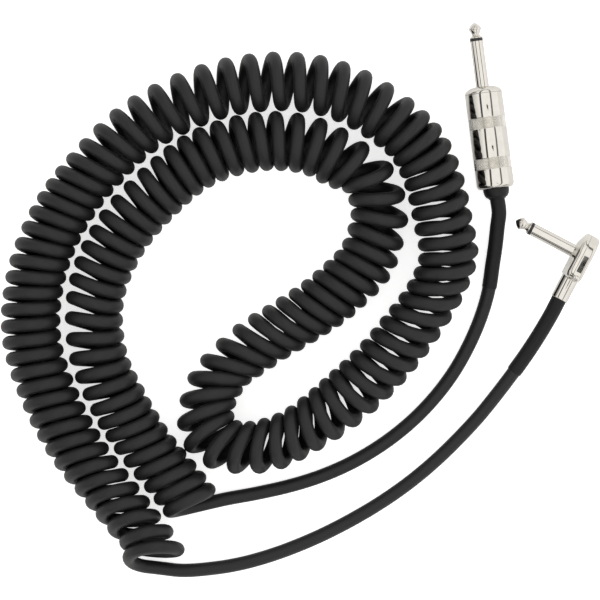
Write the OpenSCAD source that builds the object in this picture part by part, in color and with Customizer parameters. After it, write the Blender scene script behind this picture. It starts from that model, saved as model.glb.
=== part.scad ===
// Coiled instrument cable: a curly cord with a straight and a right-angle 6.35 mm jack plug.
// Millimetres. The cable lies on the plane z = 0, and the origin is on that plane, under the
// middle of the box round the two plugs. X and Y follow the floor, Z is up.
// Each plug is drawn about its own axis: Z runs from the nose to the rear, Y is up when it lies.

/* [Jack shaft] */
// Diameter of the shaft, of the ball and of the ring at the tip
shaft_d = 6.35; // [6.2:0.05:6.5]
// Nose to shoulder
shaft_len = 31.6; // [29:0.1:35]
// Radius of the rounded nose
nose_r = 0.9; // [0.6:0.1:1.2]
// Radius of the ball's edge
ball_edge_r = 0.7; // [0.4:0.1:0.9]
// Nose to the narrowest place of the neck
neck_at = 5.9; // [5.5:0.1:6.2]
// Diameter of the neck
neck_d = 3.9; // [3.6:0.1:4.6]
// Radius of the groove that makes the neck
neck_groove_r = 1.3; // [1:0.1:1.5]
// Nose to the insulating ring
tip_len = 7.7; // [7.4:0.1:8.2]
// Thickness of the insulating ring
ring_len = 1.4; // [1:0.1:2]
// Diameter of the rod that joins the tip to its lug
rod_d = 2.4; // [2:0.1:2.8]
// Wall of the insulating tube round the rod
core_tube_wall = 0.8; // [0.5:0.1:1]
// Length of the rod's riveted end past its lug
rivet_len = 0.8; // [0.5:0.1:1.2]
// Diameter of the rod's riveted end
rivet_d = 3.6; // [3.2:0.1:4.2]

/* [Straight plug] */
// Diameter of the knurled shell and of the collar before it
shell_d = 18.4; // [17.4:0.1:20]
// Nose to the shell's rear face
shell_end = 81.9; // [80:0.1:90]
// Wall of the shell
shell_wall = 2; // [1.4:0.1:2.4]
// Thickness of the shell's rear wall
shell_rear_wall = 3; // [2:0.1:4]
// Rounding of the shell's rear edge
shell_rear_round = 2.2; // [0.4:0.1:2.4]
// Small bevel on the shell's front edge
shell_front_bevel = 0.3; // [0.1:0.1:0.6]
// Length of the collar on the barrel, which is domed from the shaft to the shell
collar_len = 3.4; // [2.2:0.1:4]
// Outside diameter of the thread under the shell
thread_d = 14; // [12.6:0.1:14]
// Length of the thread
thread_len = 6; // [5:1:7]
// Pitch of the thread
thread_pitch = 1; // [0.75:0.25:1.25]
// Depth of the thread
thread_depth = 0.55; // [0.3:0.05:0.6]
// Diameter of the spigot that holds the cable clamp
spigot_d = 6; // [5.6:0.1:6.4]
// Nose to the front edge of the first knurled band
band_1_at = 46.8; // [44:0.1:48]
// Nose to the front edge of the second knurled band
band_2_at = 66.8; // [62:0.1:68]
// Width of a knurled band
band_len = 5.6; // [4:0.1:7]
// Depth of a knurled band
band_depth = 0.25; // [0.1:0.05:0.4]
// Diameter of the shell's rear hole and of the rubber in it
relief_d = 12.8; // [11:0.1:13.4]
// Diameter of the rubber at its rear end
relief_end_d = 8.6; // [8.4:0.1:9.4]
// Length of the rubber dome behind the shell
relief_len = 5.2; // [4:0.1:7]
// Rounding of the dome's rear edge
relief_round = 0.6; // [0.2:0.1:0.6]
// Thickness of the rubber flange inside the shell
relief_flange_len = 1.5; // [1:0.1:2.5]
// Wall of the insulating liner inside the shell
liner_wall = 0.6; // [0.4:0.1:0.8]
// Nose to the end of the cord's jacket
jacket_end = 56; // [54:0.5:57]

/* [Angle plug] */
// Thickness of the flat head
head_thickness = 9.7; // [9.5:0.1:11]
// Width of the flat head
head_w = 22; // [21:0.1:24]
// Distance of the shaft's axis from the head's end wall
head_reach = 13.6; // [13.2:0.1:15]
// Thickness of the head's walls
head_wall = 1.2; // [0.9:0.1:1.5]
// Height of the seam between base and cover
seam_at = 4.75; // [4.4:0.05:5]
// Radius of the head's shoulders towards the cord
head_corner_r = 5; // [4:0.1:6]
// Distance of the head's front edge behind its flat face
head_set_back = 1.4; // [0.8:0.1:1.6]
// Rounding of the head's front edge
head_front_round = 2.5; // [1.6:0.1:2.6]
// Rounding of the head's back edge
head_back_round = 2.6; // [1.6:0.1:2.8]
// Distance of the ferrule's end from the shaft's axis
ferrule_reach = 24.3; // [22:0.1:28]
// Outside diameter of the ferrule
ferrule_d = 8.6; // [8.5:0.1:9.2]
// Distance of the jacket's end from the shaft's axis
angle_jacket_reach = 8.5; // [8:0.1:9]
// Diameter of the cover screw's head
screw_head_d = 3.8; // [2.6:0.1:4.2]
// Height of the cover screw's head
screw_head_h = 1.6; // [0.9:0.1:1.8]
// Diameter of the cover screw's thread
screw_d = 1.6; // [1.4:0.1:2]
// Length of the cover screw under its head
screw_len = 5; // [4:0.1:5.4]

/* [Lugs and clamps] */
// Thickness of a solder lug
lug_t = 0.8; // [0.5:0.1:1]
// Diameter of a solder lug's eye
lug_eye_d = 5.2; // [4.6:0.1:6]
// Width of a solder lug's tongue
lug_w = 2.8; // [2:0.1:3.2]
// Length of a solder lug's tongue
lug_len = 8; // [6:0.5:9]
// Thickness of the straight plug's clamp
clamp_t = 0.8; // [0.5:0.1:1]
// Thickness of the angle plug's clamp
angle_clamp_t = 0.5; // [0.4:0.1:0.6]
// Width of a clamp's crimped tabs along the cord
clamp_tab_w = 5; // [3:0.5:6]
// Width of a clamp's strip
clamp_w = 4; // [3:0.1:4.6]
// Gap between the ends of a clamp's crimped tabs
clamp_opening = 3.4; // [2:0.1:5]
// Thickness of the insulating washers
washer_t = 1.2; // [0.8:0.1:1.6]

/* [Cord] */
// Diameter of the jacketed cord
cord_d = 6.7; // [6.5:0.05:6.9]
// Diameter of the cord's insulated core
core_d = 2.4; // [1.8:0.1:2.6]
// Diameter of the core's wire
wire_d = 0.8; // [0.5:0.1:1.2]
// Diameter of the gathered shield
pigtail_d = 1.2; // [0.8:0.1:1.4]
// Wall of the straight plug's shrink sleeve
straight_sleeve_wall = 0.3; // [0.2:0.05:0.4]
// Wall of the angle plug's shrink sleeve
angle_sleeve_wall = 0.4; // [0.2:0.05:0.4]
// Radius of the curls, to the middle of the cord
curl_r = 11.4; // [10.5:0.05:12]
// Number of curls that the solid has, for the 126 of the cord
curls = 90; // [60:1:90]

/* [Lay] */
// Distance of the straight plug's nose behind the origin
straight_nose_y = 69; // [60:0.5:80]
// Distance of the straight plug's nose to the left of the origin
straight_nose_x = 28; // [20:0.1:40]
// Turn of the straight plug to the right
straight_heading = 7.5; // [0:0.5:15]
// Distance of the angle plug's nose before the origin
angle_nose_y = 28.1; // [26:0.1:40]
// Distance of the angle plug's nose to the left of the origin
angle_nose_x = 7.6; // [0:0.1:12]
// Turn of the angle plug to the right
angle_heading = 62.5; // [55:0.5:70]

/* [Fits] */
// Gap on the radius round what turns or slides
running_gap = 0.05; // [0.03:0.01:0.1]
// Gap round what is pressed, crimped or shrunk on
seat_gap = 0.02; // [0.01:0.01:0.05]
// Gap round the liner, which lies loose in the shell
liner_gap = 0.15; // [0.1:0.05:0.3]

/* [Hidden] */

round_fn = 64;   // circles that carry a fit
head_fn = 48;    // circles of the head's outside
soft_fn = 32;    // circles of the room inside it, and thin wires
arc_steps = 8;   // points on a rounded edge
strip_step = 0.1;       // step between a clamp's strip and its tabs
clamp_rim = 1;          // how far a clamp's ring stands out past the clamp's tabs
wire_step = 0.3;        // drop of a wire from one thing to the next

// Radii
shaft_r = shaft_d / 2;
rod_r = rod_d / 2;
core_tube_r = rod_r + seat_gap + core_tube_wall;
barrel_bore_r = core_tube_r + seat_gap;
shell_r = shell_d / 2;
thread_r = thread_d / 2;
spigot_r = spigot_d / 2;
cord_r = cord_d / 2;
cord_seat_r = cord_r + seat_gap;
straight_sleeve_r = cord_seat_r + straight_sleeve_wall;
angle_sleeve_r = cord_seat_r + angle_sleeve_wall;
shell_bore_r = shell_r - shell_wall;
liner_r = shell_bore_r - liner_gap;

// Stations of the straight plug, from the nose
barrel_front = tip_len + ring_len;
collar_end = shaft_len + collar_len;
thread_end = collar_end + thread_len;
spigot_end = thread_end + clamp_t;
washer_end = spigot_end + washer_t;
lug_end = washer_end + lug_t;
shell_rear_inside = shell_end - shell_rear_wall;
relief_flange_at = shell_rear_inside - relief_flange_len;
dome_end = shell_end + relief_len;
liner_at = lug_end + rivet_len;
tab_inset = 1.5;        // bare jacket in front of the clamp's tabs
clamp_tab_at = jacket_end + tab_inset;

// Stations of the angle plug: from the nose, and along the cord from the shaft's axis
ferrule_r = ferrule_d / 2;
ferrule_bore_r = angle_sleeve_r + seat_gap;
head_r = head_w / 2;
cord_at = shaft_len + head_thickness / 2;
floor_at = cord_at - cord_seat_r - angle_clamp_t - strip_step;
flange_at = floor_at + angle_clamp_t;
root_r = shaft_r - 0.4;  // root of the barrel, in the head's floor
flange_t = 0.8;         // flange that the barrel's end is spread to inside the head
flange_rim = 1.3;       // how far that flange stands out past the shaft
washer_rim = 0.8;       // the same for the washer on it
angle_washer_at = flange_at + flange_t;
angle_lug_at = angle_washer_at + washer_t / 2;
angle_lug_end = angle_lug_at + lug_t;
head_back = shaft_len + head_thickness;
rim_front = shaft_len + head_set_back;
face_rim = 0.2;         // flat floor round what lies on it
clamp_back = 0.9;       // distance of the clamp's end from the head's end wall
clamp_end = head_reach - head_wall - clamp_back;
face_end = clamp_end + face_rim;
angle_tab_reach = angle_jacket_reach + wire_step;
angle_tab_w = clamp_end - angle_tab_reach;
angle_lug_reach = lug_eye_d / 2 + 2.6;  // end of the tongue, from the shaft's axis
corner_x = -(head_reach - head_corner_r);
corner_y = head_r - head_corner_r;
screw_rise = 7;                 // height of the screw's axis in the head, in the cover's half
screw_at = shaft_len + screw_rise;
screw_aim = 45;                 // tilt of the cover screw, from sideways towards the cord
screw_seat = 0.6;               // depth of the flat that the screw's head sits on
screw_post_r = 1.9;             // radius of the post that the screw bites into
screw_post_in = 3.4;            // distance of the post's middle from the head's shoulder
post_over = 1.3;                // height of the post above the screw's axis

// Noses of the plugs, which lie on their widest pieces
straight_nose = [-straight_nose_x, straight_nose_y, shell_r];
angle_nose = [-angle_nose_x, -angle_nose_y, head_r];

// Courses of the two tails past the plugs, with the height above the cord's lowest lie as third
straight_course = [
    [-16.5, -31, 4.2], [-17.4, -40, 2.6], [-18.8, -50, 1.1], [-20.4, -61.1, 0.3], [-23.4, -72.3, 0],
    [-27.2, -82.3, 0], [-32, -92.4, 0], [-37.8, -102.4, 0], [-45.1, -112.4, 0], [-53.9, -122.2, 0],
    [-65.5, -132.5, 0], [-77.6, -141, 0], [-90.6, -148.2, 0], [-104.7, -154.1, 0],
    [-118.8, -158.4, 0], [-132.9, -161.6, 0]];
angle_course = [
    [9.9, -73.7, 5.3], [5.3, -81.8, 3.6], [-1.1, -92, 1.8], [-8.4, -102.4, 0.6], [-16.4, -113, 0],
    [-25.3, -124, 0], [-35.4, -134.9, 0], [-46.4, -145.6, 0], [-58.9, -156.1, 0],
    [-72.6, -165.8, 0], [-86.6, -174.2, 0], [-100.6, -181.5, 0], [-114.7, -187.7, 0],
    [-128.8, -192.8, 0], [-142.8, -196.6, 0], [-156.9, -198.9, 0]];

// Course of the curls: curl of the cord, place of its middle, heading of its half turn, and how
// far its top leans forward along the course
cord_curls = 126;
curl_course = [
    [0.5, -187, -194.7, 2.5, 3.5], [1, -184.3, -190.5, -2, 3.5], [2, -188.4, -183.2, 5, 3.2],
    [3, -194.4, -175.8, 6, 3.3], [5, -205, -162.4, 9, 2.2], [8, -220.1, -143.1, 10, 1.2],
    [12, -235, -115.8, 6, 0.6], [16, -244.5, -86, 0, -0.5], [20, -242.5, -55.7, -10, -0.5],
    [24, -231.5, -27.3, -27, -0.3], [28, -213.5, -2.8, -34, -0.3], [32, -186.4, 21.4, -60, -0.3],
    [36, -146, 37.6, -85, 0], [40, -103, 37.9, -102, 0], [42, -83.9, 30.8, -116, -0.1],
    [44, -67.1, 19.7, -138, 0.2], [46, -55.8, 8.8, -148.7, 1], [48, -49, -5.3, -161, 1.5],
    [51, -43.3, -29.2, -173, 2.1], [53, -40.8, -45, -178, 1.7], [55, -45.7, -59.5, -184, 2.4],
    [58, -59.7, -81, -204, 2], [62, -81.2, -105.9, -222, 2.1], [66, -108.5, -127.4, -263, 1.8],
    [68, -123.5, -135.8, -277, 1.9], [70, -142, -138.6, -302, 1.2],
    [71, -151.3, -137.1, -318, 1.4], [72, -158.3, -130.5, -332.8, 0.9],
    [73, -159.2, -121.7, -345.6, 0.5], [74, -156.8, -112.8, -358, 0.1],
    [75, -152.6, -104.6, -369.6, -0.4], [76, -146.4, -98.4, -380.2, -0.4],
    [77, -139.4, -92.5, -390, -0.4], [78, -131.9, -86.9, -396, -1.4],
    [80, -118, -78.5, -398, -1.7], [84, -94, -61.5, -400, 0], [87, -79.1, -44.1, -392, 0],
    [88, -76.6, -36.1, -390, -0.5], [89, -74.6, -27.1, -379, -0.8],
    [90, -75.8, -17.4, -366, -0.8], [91, -79.8, -8, -347.6, -0.9], [92, -88.9, -1.9, -321, -0.5],
    [94, -105.5, 7.6, -295, 0.1], [96, -123.5, 10.8, -274, 0.2], [98, -140.4, 9.4, -261, 0.2],
    [100, -156.9, 4.4, -251, -0.2], [104, -181.9, -13.5, -237, 0.9],
    [108, -202.8, -38, -215, 0.8], [112, -213.6, -67.5, -201, 1.2],
    [115, -212.1, -93.4, -180, 0.7], [118, -202.6, -115.8, -165, 1],
    [121, -191.2, -134.9, -165, 0.8], [125, -172, -158.9, -161, -0.2],
    [126.5, -165.3, -167.8, -161, -0.5]];

// ---- Small helpers ----

function unit(v) = v / norm(v);
function last(list) = list[len(list) - 1];

// Points on an arc, from one angle to another
function arc(centre, r, from, to, steps = arc_steps) =
    [for (i = [0:steps]) let (a = from + (to - from) * i / steps) centre + r * [cos(a), sin(a)]];

// A point on a plug's axis, at a distance from its nose
function axis_point(nose, heading, station) = nose + station * [sin(heading), -cos(heading), 0];

// A point on the angle plug's cord axis, at a reach from the shaft's axis
function angle_cord_point(reach) =
    axis_point(angle_nose, angle_heading, cord_at)
    - reach * [cos(angle_heading), sin(angle_heading), 0];

module lay_straight() translate(straight_nose) rotate([90, 0, straight_heading]) children();
module lay_angle() translate(angle_nose) rotate([90, 0, angle_heading]) children();

module tube(outer, inner, from, to)
    translate([0, 0, from])
        difference() {
            cylinder(h = to - from, r = outer, $fn = round_fn);
            translate([0, 0, -1])
                cylinder(h = to - from + 2, r = inner, $fn = round_fn);
        }

module rod(r, from, to)
    translate([0, 0, from])
        cylinder(h = to - from, r = r, $fn = round_fn);

module turned(profile)
    rotate_extrude($fn = round_fn)
        polygon(profile);

// A straight wire between two points
module wire(from, to, r) {
    run = to - from;
    translate(from)
        rotate([0, acos(run.z / norm(run)), atan2(run.y, run.x)])
            cylinder(h = norm(run), r = r, $fn = soft_fn);
}

// ---- Swept cords ----

// Direction of a course at one of its points
function course_dir(p, i) =
    unit(p[min(i + 1, len(p) - 1)] - p[max(i - 1, 0)]);

// The part of a vector that is square to a direction
function square_to(v, dir) = unit(v - (v * dir) * dir);

// One ring of points round a course point
function ring(centre, dir, lift, r, sides) =
    let (side = cross(dir, lift))
    [for (k = [0:sides - 1]) let (a = 360 * k / sides) centre + r * (cos(a) * side + sin(a) * lift)];

// Triangles between two rings
function band_faces(a, b, sides) =
    [for (k = [0:sides - 1]) let (n = (k + 1) % sides)
        each [[a + k, a + n, b + n], [a + k, b + n, b + k]]];

function cap_start(a, sides) = [for (k = [1:sides - 2]) [a, a + k + 1, a + k]];
function cap_end(a, sides) = [for (k = [1:sides - 2]) [a, a + k, a + k + 1]];

// A closed cord through points, whose ring corners aim at the lifts
module cord_tube(points, lifts, r, sides) {
    rings = [for (i = [0:len(points) - 1])
        let (dir = course_dir(points, i))
        each ring(points[i], dir, square_to(lifts[i], dir), r, sides)];
    faces = concat(
        cap_start(0, sides),
        [for (i = [0:len(points) - 2]) each band_faces(i * sides, (i + 1) * sides, sides)],
        cap_end((len(points) - 1) * sides, sides));
    polyhedron(rings, faces, convexity = 10);
}

// A sleeve round a stretch of a cord, from one of the cord's points to another
module sleeve_tube(points, from, to, outer, inner, sides) {
    count = to - from + 1;
    function wall(r) = [for (i = [from:to])
        let (dir = course_dir(points, i))
        each ring(points[i], dir, square_to([0, 0, 1], dir), r, sides)];
    inside = count * sides;
    faces = concat(
        [for (i = [0:count - 2]) each band_faces(i * sides, (i + 1) * sides, sides)],
        [for (i = [0:count - 2])
            each band_faces(inside + (i + 1) * sides, inside + i * sides, sides)],
        band_faces(inside, 0, sides),
        band_faces((count - 1) * sides, inside + (count - 1) * sides, sides));
    polyhedron(concat(wall(outer), wall(inner)), faces, convexity = 10);
}

// Place, heading and lean on the curls' course, on a smooth line through its rows
function course_row(t, i = 0) =
    i >= len(curl_course) - 2 || t < curl_course[i + 1][0] ? i : course_row(t, i + 1);
function course_value(i) = [for (column = [1:4]) curl_course[i][column]];
function course_step(i) = curl_course[i + 1][0] - curl_course[i][0];
function course_rate(i) = (course_value(i + 1) - course_value(i)) / course_step(i);
function course_slope(i) =
    i == 0 ? course_rate(0)
    : i == len(curl_course) - 1 ? course_rate(i - 1)
    : (course_rate(i - 1) * course_step(i) + course_rate(i) * course_step(i - 1))
        / (course_step(i) + course_step(i - 1));
function curl_course_at(t) =
    let (i = course_row(t), d = course_step(i), u = (t - curl_course[i][0]) / d)
    (2 * pow(u, 3) - 3 * u * u + 1) * course_value(i)
    + (pow(u, 3) - 2 * u * u + u) * d * course_slope(i)
    + (3 * u * u - 2 * pow(u, 3)) * course_value(i + 1)
    + (pow(u, 3) - u * u) * d * course_slope(i + 1);

curl_rings = 8;      // rings in one curl
curl_sides = 6;      // corners of one ring
tail_sides = 12;     // corners of a tail's ring
cord_lie = cord_r;   // height of the cord's middle where it lies

// Both ends of the coil are where a curl touches the floor
function curl_turn(i) = 360 * (0.5 + i / curl_rings);
function curl_at(i) = curl_course_at(0.5 + (cord_curls / curls) * i / curl_rings);
function curl_out(i) =
    let (heading = curl_at(i)[2], a = curl_turn(i))
    [sin(a) * cos(heading), sin(a) * sin(heading), cos(a)];
function curl_point(i) =
    let (at = curl_at(i))
    [at[0], at[1], curl_r + cord_lie] + curl_r * curl_out(i)
    + at[3] * cos(curl_turn(i)) * [-sin(at[2]), cos(at[2]), 0];

curl_points = [for (i = [0:curls * curl_rings]) curl_point(i)];
curl_lifts = [for (i = [0:curls * curl_rings]) curl_out(i)];

// Straight, level run of one diameter before the first curl and after the last
short_step = 0.05;   // part of a ring's step that gives the direction at an end
function level(v) = unit([v.x, v.y, 0]);
run_in = cord_d * level(curl_point(short_step) - curl_points[0]);
run_out = cord_d * level(last(curl_points) - curl_point(curls * curl_rings - short_step));
coil_in = curl_points[0] - run_in;
coil_out = last(curl_points) + run_out;
coil_points = concat([coil_in], curl_points, [coil_out]);
coil_lifts = concat([[0, 0, -1]], curl_lifts, [[0, 0, -1]]);

// Least gap between the cord's skins, over points at least three quarters of a curl apart
near_rings = curl_rings * 3 / 4;
gap_window = curl_rings * 2;
near_gap = min([for (i = [0:len(curl_points) - 1 - near_rings])
    for (j = [i + near_rings:min(i + gap_window, len(curl_points) - 1)])
        norm(curl_points[i] - curl_points[j])]) - cord_d;
far_gap = min([for (i = [0:2:len(curl_points) - 1 - gap_window])
    for (j = [i + gap_window:2:len(curl_points) - 1])
        norm(curl_points[i] - curl_points[j])]) - cord_d;
echo(least_gap_to_itself = min(near_gap, far_gap));

// Whole courses of the tails, from the jacket's end to the coil
function lifted(course, rise) = [for (p = course) [p.x, p.y, p.z + rise]];
tail_run_out = 6.4;     // straight stretch behind the straight plug, longer than its thread
sleeve_in = 6;          // stretch of the sleeve inside the shell, in front of the rubber
straight_stations = [jacket_end, clamp_tab_at + clamp_tab_w, relief_flange_at - sleeve_in, dome_end,
                     dome_end + tail_run_out];
straight_points = concat(
    [for (s = straight_stations) axis_point(straight_nose, straight_heading, s)],
    lifted(straight_course, cord_lie),
    [coil_out + run_out, coil_out]);
straight_sleeve_from = 2;
straight_sleeve_to = 8;
angle_reaches = [angle_jacket_reach, head_reach + head_wall, ferrule_reach, ferrule_reach + 1];
angle_points = concat(
    [for (r = angle_reaches) angle_cord_point(r)],
    lifted(angle_course, cord_lie),
    [coil_in - run_in, coil_in]);
angle_sleeve_from = 1;
angle_sleeve_to = 7;
up = [0, 0, 1];

// ---- Pieces that both plugs have ----

// Half outline of the tip, from the nose to the insulating ring
nose_slope = 45;     // slope of the nose's cone
ball_sweep = 60;     // end of the ball's rounded edge, past its widest place
neck_sweep = 45;     // half of the neck's groove
ball_x = shaft_r - ball_edge_r;
ball_y = ball_x / tan(nose_slope) - nose_r * (1 / sin(nose_slope) - 1) + ball_edge_r / sin(nose_slope);
tip_edge = 0.35;     // bevel before the tip's rear edge
tip_outline = concat(
    [[0, 0]],
    arc([0, nose_r], nose_r, -90, -nose_slope),
    arc([ball_x, ball_y], ball_edge_r, -nose_slope, ball_sweep),
    arc([neck_d / 2 + neck_groove_r, neck_at], neck_groove_r, 180 + neck_sweep, 180 - neck_sweep),
    [[shaft_r - tip_edge, tip_len - 2 * tip_edge], [shaft_r, tip_len - tip_edge],
     [shaft_r, tip_len], [0, tip_len]]);

module tip(lug_at) {
    turned(tip_outline);
    rod(rod_r, tip_len - 0.5, lug_at + lug_t + rivet_len);
    rod(rivet_d / 2, lug_at + lug_t, lug_at + lug_t + rivet_len);
}

module tip_insulator() tube(shaft_r, rod_r + seat_gap, tip_len, barrel_front);
module core_tube(end) tube(core_tube_r, rod_r + seat_gap, barrel_front, end);
module rear_washer(r, from, to) tube(r, rod_r + seat_gap, from, to);

// Solder lug: an eye under the riveted rod, and a tongue that is bent back along Z
module bent_lug(from) {
    tongue_y = lug_eye_d / 2;
    tube(lug_eye_d / 2, rod_r + seat_gap, from, from + lug_t);
    translate([-lug_w / 2, rod_r + lug_t, from])
        cube([lug_w, tongue_y - rod_r, lug_t]);
    translate([-lug_w / 2, tongue_y, from])
        cube([lug_w, lug_t, lug_len]);
}

// Tabs of a clamp, bent round the cord's jacket
module crimped_tabs(t, len)
    difference() {
        tube(cord_seat_r + t, cord_seat_r, 0, len);
        translate([-clamp_opening / 2, 0, -1])
            cube([clamp_opening, cord_d, len + 2]);
    }

// ---- Straight plug ----

module straight_tip() color([0.80, 0.79, 0.76]) lay_straight() tip(washer_end);
module straight_tip_insulator() color([0.08, 0.08, 0.08]) lay_straight() tip_insulator();
module straight_core_tube() color([0.92, 0.91, 0.86]) lay_straight() core_tube(spigot_end);

// Dome of the collar, from the shaft's surface out to the shell's
collar_dome = [for (i = [0:arc_steps]) let (a = 90 * i / arc_steps)
    [shaft_r + (shell_r - shaft_r) * sin(a), collar_end - collar_len * cos(a)]];

// Thread drawn as rings of its own depth and pitch
thread_crest = 0.1;     // flat top of the thread
thread_half = (thread_pitch - thread_crest) / 2;
thread_outline = [for (z = [collar_end + thread_pitch / 2:thread_pitch:thread_end])
    each [[thread_r, z - thread_half], [thread_r - thread_depth, z], [thread_r, z + thread_half]]];

module straight_barrel()
    color([0.80, 0.79, 0.76])
        lay_straight()
            turned(concat(
                [[barrel_bore_r, barrel_front], [shaft_r, barrel_front]],
                collar_dome,
                [[thread_r, collar_end]],
                thread_outline,
                [[thread_r, thread_end], [spigot_r, thread_end], [spigot_r, spigot_end],
                 [barrel_bore_r, spigot_end]]));

module straight_rear_washer()
    color([0.55, 0.33, 0.18])
        lay_straight()
            rear_washer(spigot_r, spigot_end, washer_end);

module straight_tip_lug() color([0.83, 0.80, 0.72]) lay_straight() bent_lug(washer_end);

// Cable clamp: a ring on the spigot, a strip under the cord and tabs crimped round the jacket
module straight_cable_clamp()
    color([0.83, 0.80, 0.72])
        lay_straight() {
            tube(cord_seat_r + clamp_t + clamp_rim, spigot_r + seat_gap, thread_end, spigot_end);
            translate([-clamp_w / 2, -cord_seat_r - clamp_t - strip_step, thread_end])
                cube([clamp_w, clamp_t, clamp_tab_at + clamp_tab_w - thread_end]);
            translate([0, 0, clamp_tab_at])
                crimped_tabs(clamp_t, clamp_tab_w);
        }

// Half outline of the shell, with its two knurled bands let in
function band_outline(at) = [
    [shell_r, at], [shell_r - band_depth, at + band_depth],
    [shell_r - band_depth, at + band_len - band_depth], [shell_r, at + band_len]];

module straight_shell()
    color([0.80, 0.79, 0.76])
        lay_straight()
            turned(concat(
                [[thread_r + running_gap, collar_end],
                 [shell_r - shell_front_bevel, collar_end], [shell_r, collar_end + shell_front_bevel]],
                band_outline(band_1_at),
                band_outline(band_2_at),
                arc([shell_r - shell_rear_round, shell_end - shell_rear_round], shell_rear_round, 0, 90),
                [[relief_d / 2 + running_gap, shell_end],
                 [relief_d / 2 + running_gap, shell_rear_inside],
                 [shell_bore_r, shell_rear_inside], [shell_bore_r, thread_end + thread_pitch],
                 [thread_r + running_gap, thread_end + thread_pitch]]));

module straight_liner()
    color([0.85, 0.86, 0.84])
        lay_straight()
            tube(liner_r, liner_r - liner_wall, liner_at, relief_flange_at);

module straight_strain_relief() {
    bore_r = straight_sleeve_r + running_gap;
    neck_r = relief_d / 2;
    end_r = relief_end_d / 2;
    dome_rise = 0.4;    // straight stretch of the rubber behind the shell
    edge_sweep = 60;    // end of the dome's rounded rear edge
    color([0.10, 0.10, 0.11])
        lay_straight()
            turned(concat(
                [[bore_r, relief_flange_at], [liner_r, relief_flange_at],
                 [liner_r, shell_rear_inside - running_gap], [neck_r, shell_rear_inside - running_gap],
                 [neck_r, shell_end + dome_rise]],
                [for (i = [1:arc_steps]) let (a = 90 * i / arc_steps)
                    [end_r + (neck_r - end_r) * cos(a),
                     shell_end + dome_rise + (relief_len - dome_rise - relief_round) * sin(a)]],
                arc([end_r - relief_round, dome_end - relief_round], relief_round, 0, edge_sweep),
                [[bore_r, dome_end]]));
}

module straight_sleeve()
    color([0.14, 0.14, 0.15])
        sleeve_tube(straight_points, straight_sleeve_from, straight_sleeve_to,
                    straight_sleeve_r, cord_seat_r, tail_sides);

// Inner ends of the cord: the core leads up to the tip's lug, the shield down to the clamp
pigtail_len = 7;
pigtail_low = -cord_r + pigtail_d / 2;
core_bare = 3;          // length of bare wire between the core's insulation and the lug
core_rise = 2 * wire_step;
straight_core_end = [0, core_rise, liner_at + core_bare];

module straight_shield_pigtail()
    color([0.72, 0.42, 0.22])
        lay_straight()
            wire([0, pigtail_low + wire_step, jacket_end - wire_step],
                 [0, pigtail_low, jacket_end - pigtail_len], pigtail_d / 2);

module straight_core_insulation()
    color([0.90, 0.90, 0.88])
        lay_straight()
            wire([0, core_rise, jacket_end], straight_core_end, core_d / 2);

module straight_core_wire()
    color([0.72, 0.42, 0.22])
        lay_straight()
            wire(straight_core_end - [0, 0, wire_step],
                 [0, (lug_eye_d - wire_d) / 2, liner_at + wire_step], wire_d / 2);

// ---- Right-angle plug ----

module angle_tip() color([0.80, 0.79, 0.76]) lay_angle() tip(angle_lug_at);
module angle_tip_insulator() color([0.08, 0.08, 0.08]) lay_angle() tip_insulator();
module angle_core_tube() color([0.92, 0.91, 0.86]) lay_angle() core_tube(angle_washer_at);

module angle_barrel()
    color([0.80, 0.79, 0.76])
        lay_angle()
            turned([
                [barrel_bore_r, barrel_front], [shaft_r, barrel_front], [shaft_r, shaft_len],
                [root_r, shaft_len], [root_r, flange_at],
                [shaft_r + flange_rim, flange_at], [shaft_r + flange_rim, angle_washer_at],
                [barrel_bore_r, angle_washer_at]]);

// A flat disc with both edges rounded, or the same disc inset for the room inside
module rounded_disc(r, inset, fn)
    rotate_extrude($fn = fn)
        polygon(concat(
            [[0, rim_front + inset]],
            arc([r - head_front_round, rim_front + head_front_round], head_front_round - inset,
                -90, 0, 4),
            arc([r - head_back_round, head_back - head_back_round], head_back_round - inset, 0, 90, 4),
            [[0, head_back - inset]]));

// Head, or its room, with the flat face round the shaft and under the cord at a station
module head_form(inset, face_at, fn) {
    face_r = shaft_r + flange_rim + face_rim;
    face_w = clamp_w + 2 * face_rim;
    hull() {
        rounded_disc(head_r, inset, fn);
        for (side = [-1, 1])
            translate([corner_x, side * corner_y])
                rounded_disc(head_corner_r, inset, fn);
        translate([0, 0, face_at])
            cylinder(h = head_wall, r = face_r, $fn = fn);
        translate([-face_end, -face_w / 2, face_at])
            cube([face_end, face_w, head_wall]);
    }
}

module head_body() head_form(0, shaft_len, head_fn);
module head_room() head_form(head_wall, floor_at, soft_fn);

module half_space(from, to)
    translate([-ferrule_reach, -head_w, from])
        cube([2 * ferrule_reach, 2 * head_w, to - from]);

// Along the cord's axis, from one reach to another
module along_cord(r, from, to)
    translate([-from, 0, cord_at])
        rotate([0, -90, 0])
            cylinder(h = to - from, r = r, $fn = round_fn);

// Things about the cover screw's axis: Z points out of the head's shoulder
function shoulder_point(depth) = [corner_x - (head_corner_r - depth) * sin(screw_aim),
                                  corner_y + (head_corner_r - depth) * cos(screw_aim), 0];

module at_screw()
    translate(shoulder_point(screw_seat) + [0, 0, screw_at])
        rotate([-90, 0, screw_aim])
            children();

// Post inside the shoulder, which stands in the base's floor
module screw_post(gap)
    intersection() {
        head_body();
        translate(shoulder_point(screw_post_in) + [0, 0, shaft_len])
            cylinder(h = screw_rise + post_over + gap, r = screw_post_r + gap, $fn = round_fn);
    }

module screw_hole(r)
    at_screw()
        rod(r, -screw_len - seat_gap, screw_head_h);

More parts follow.
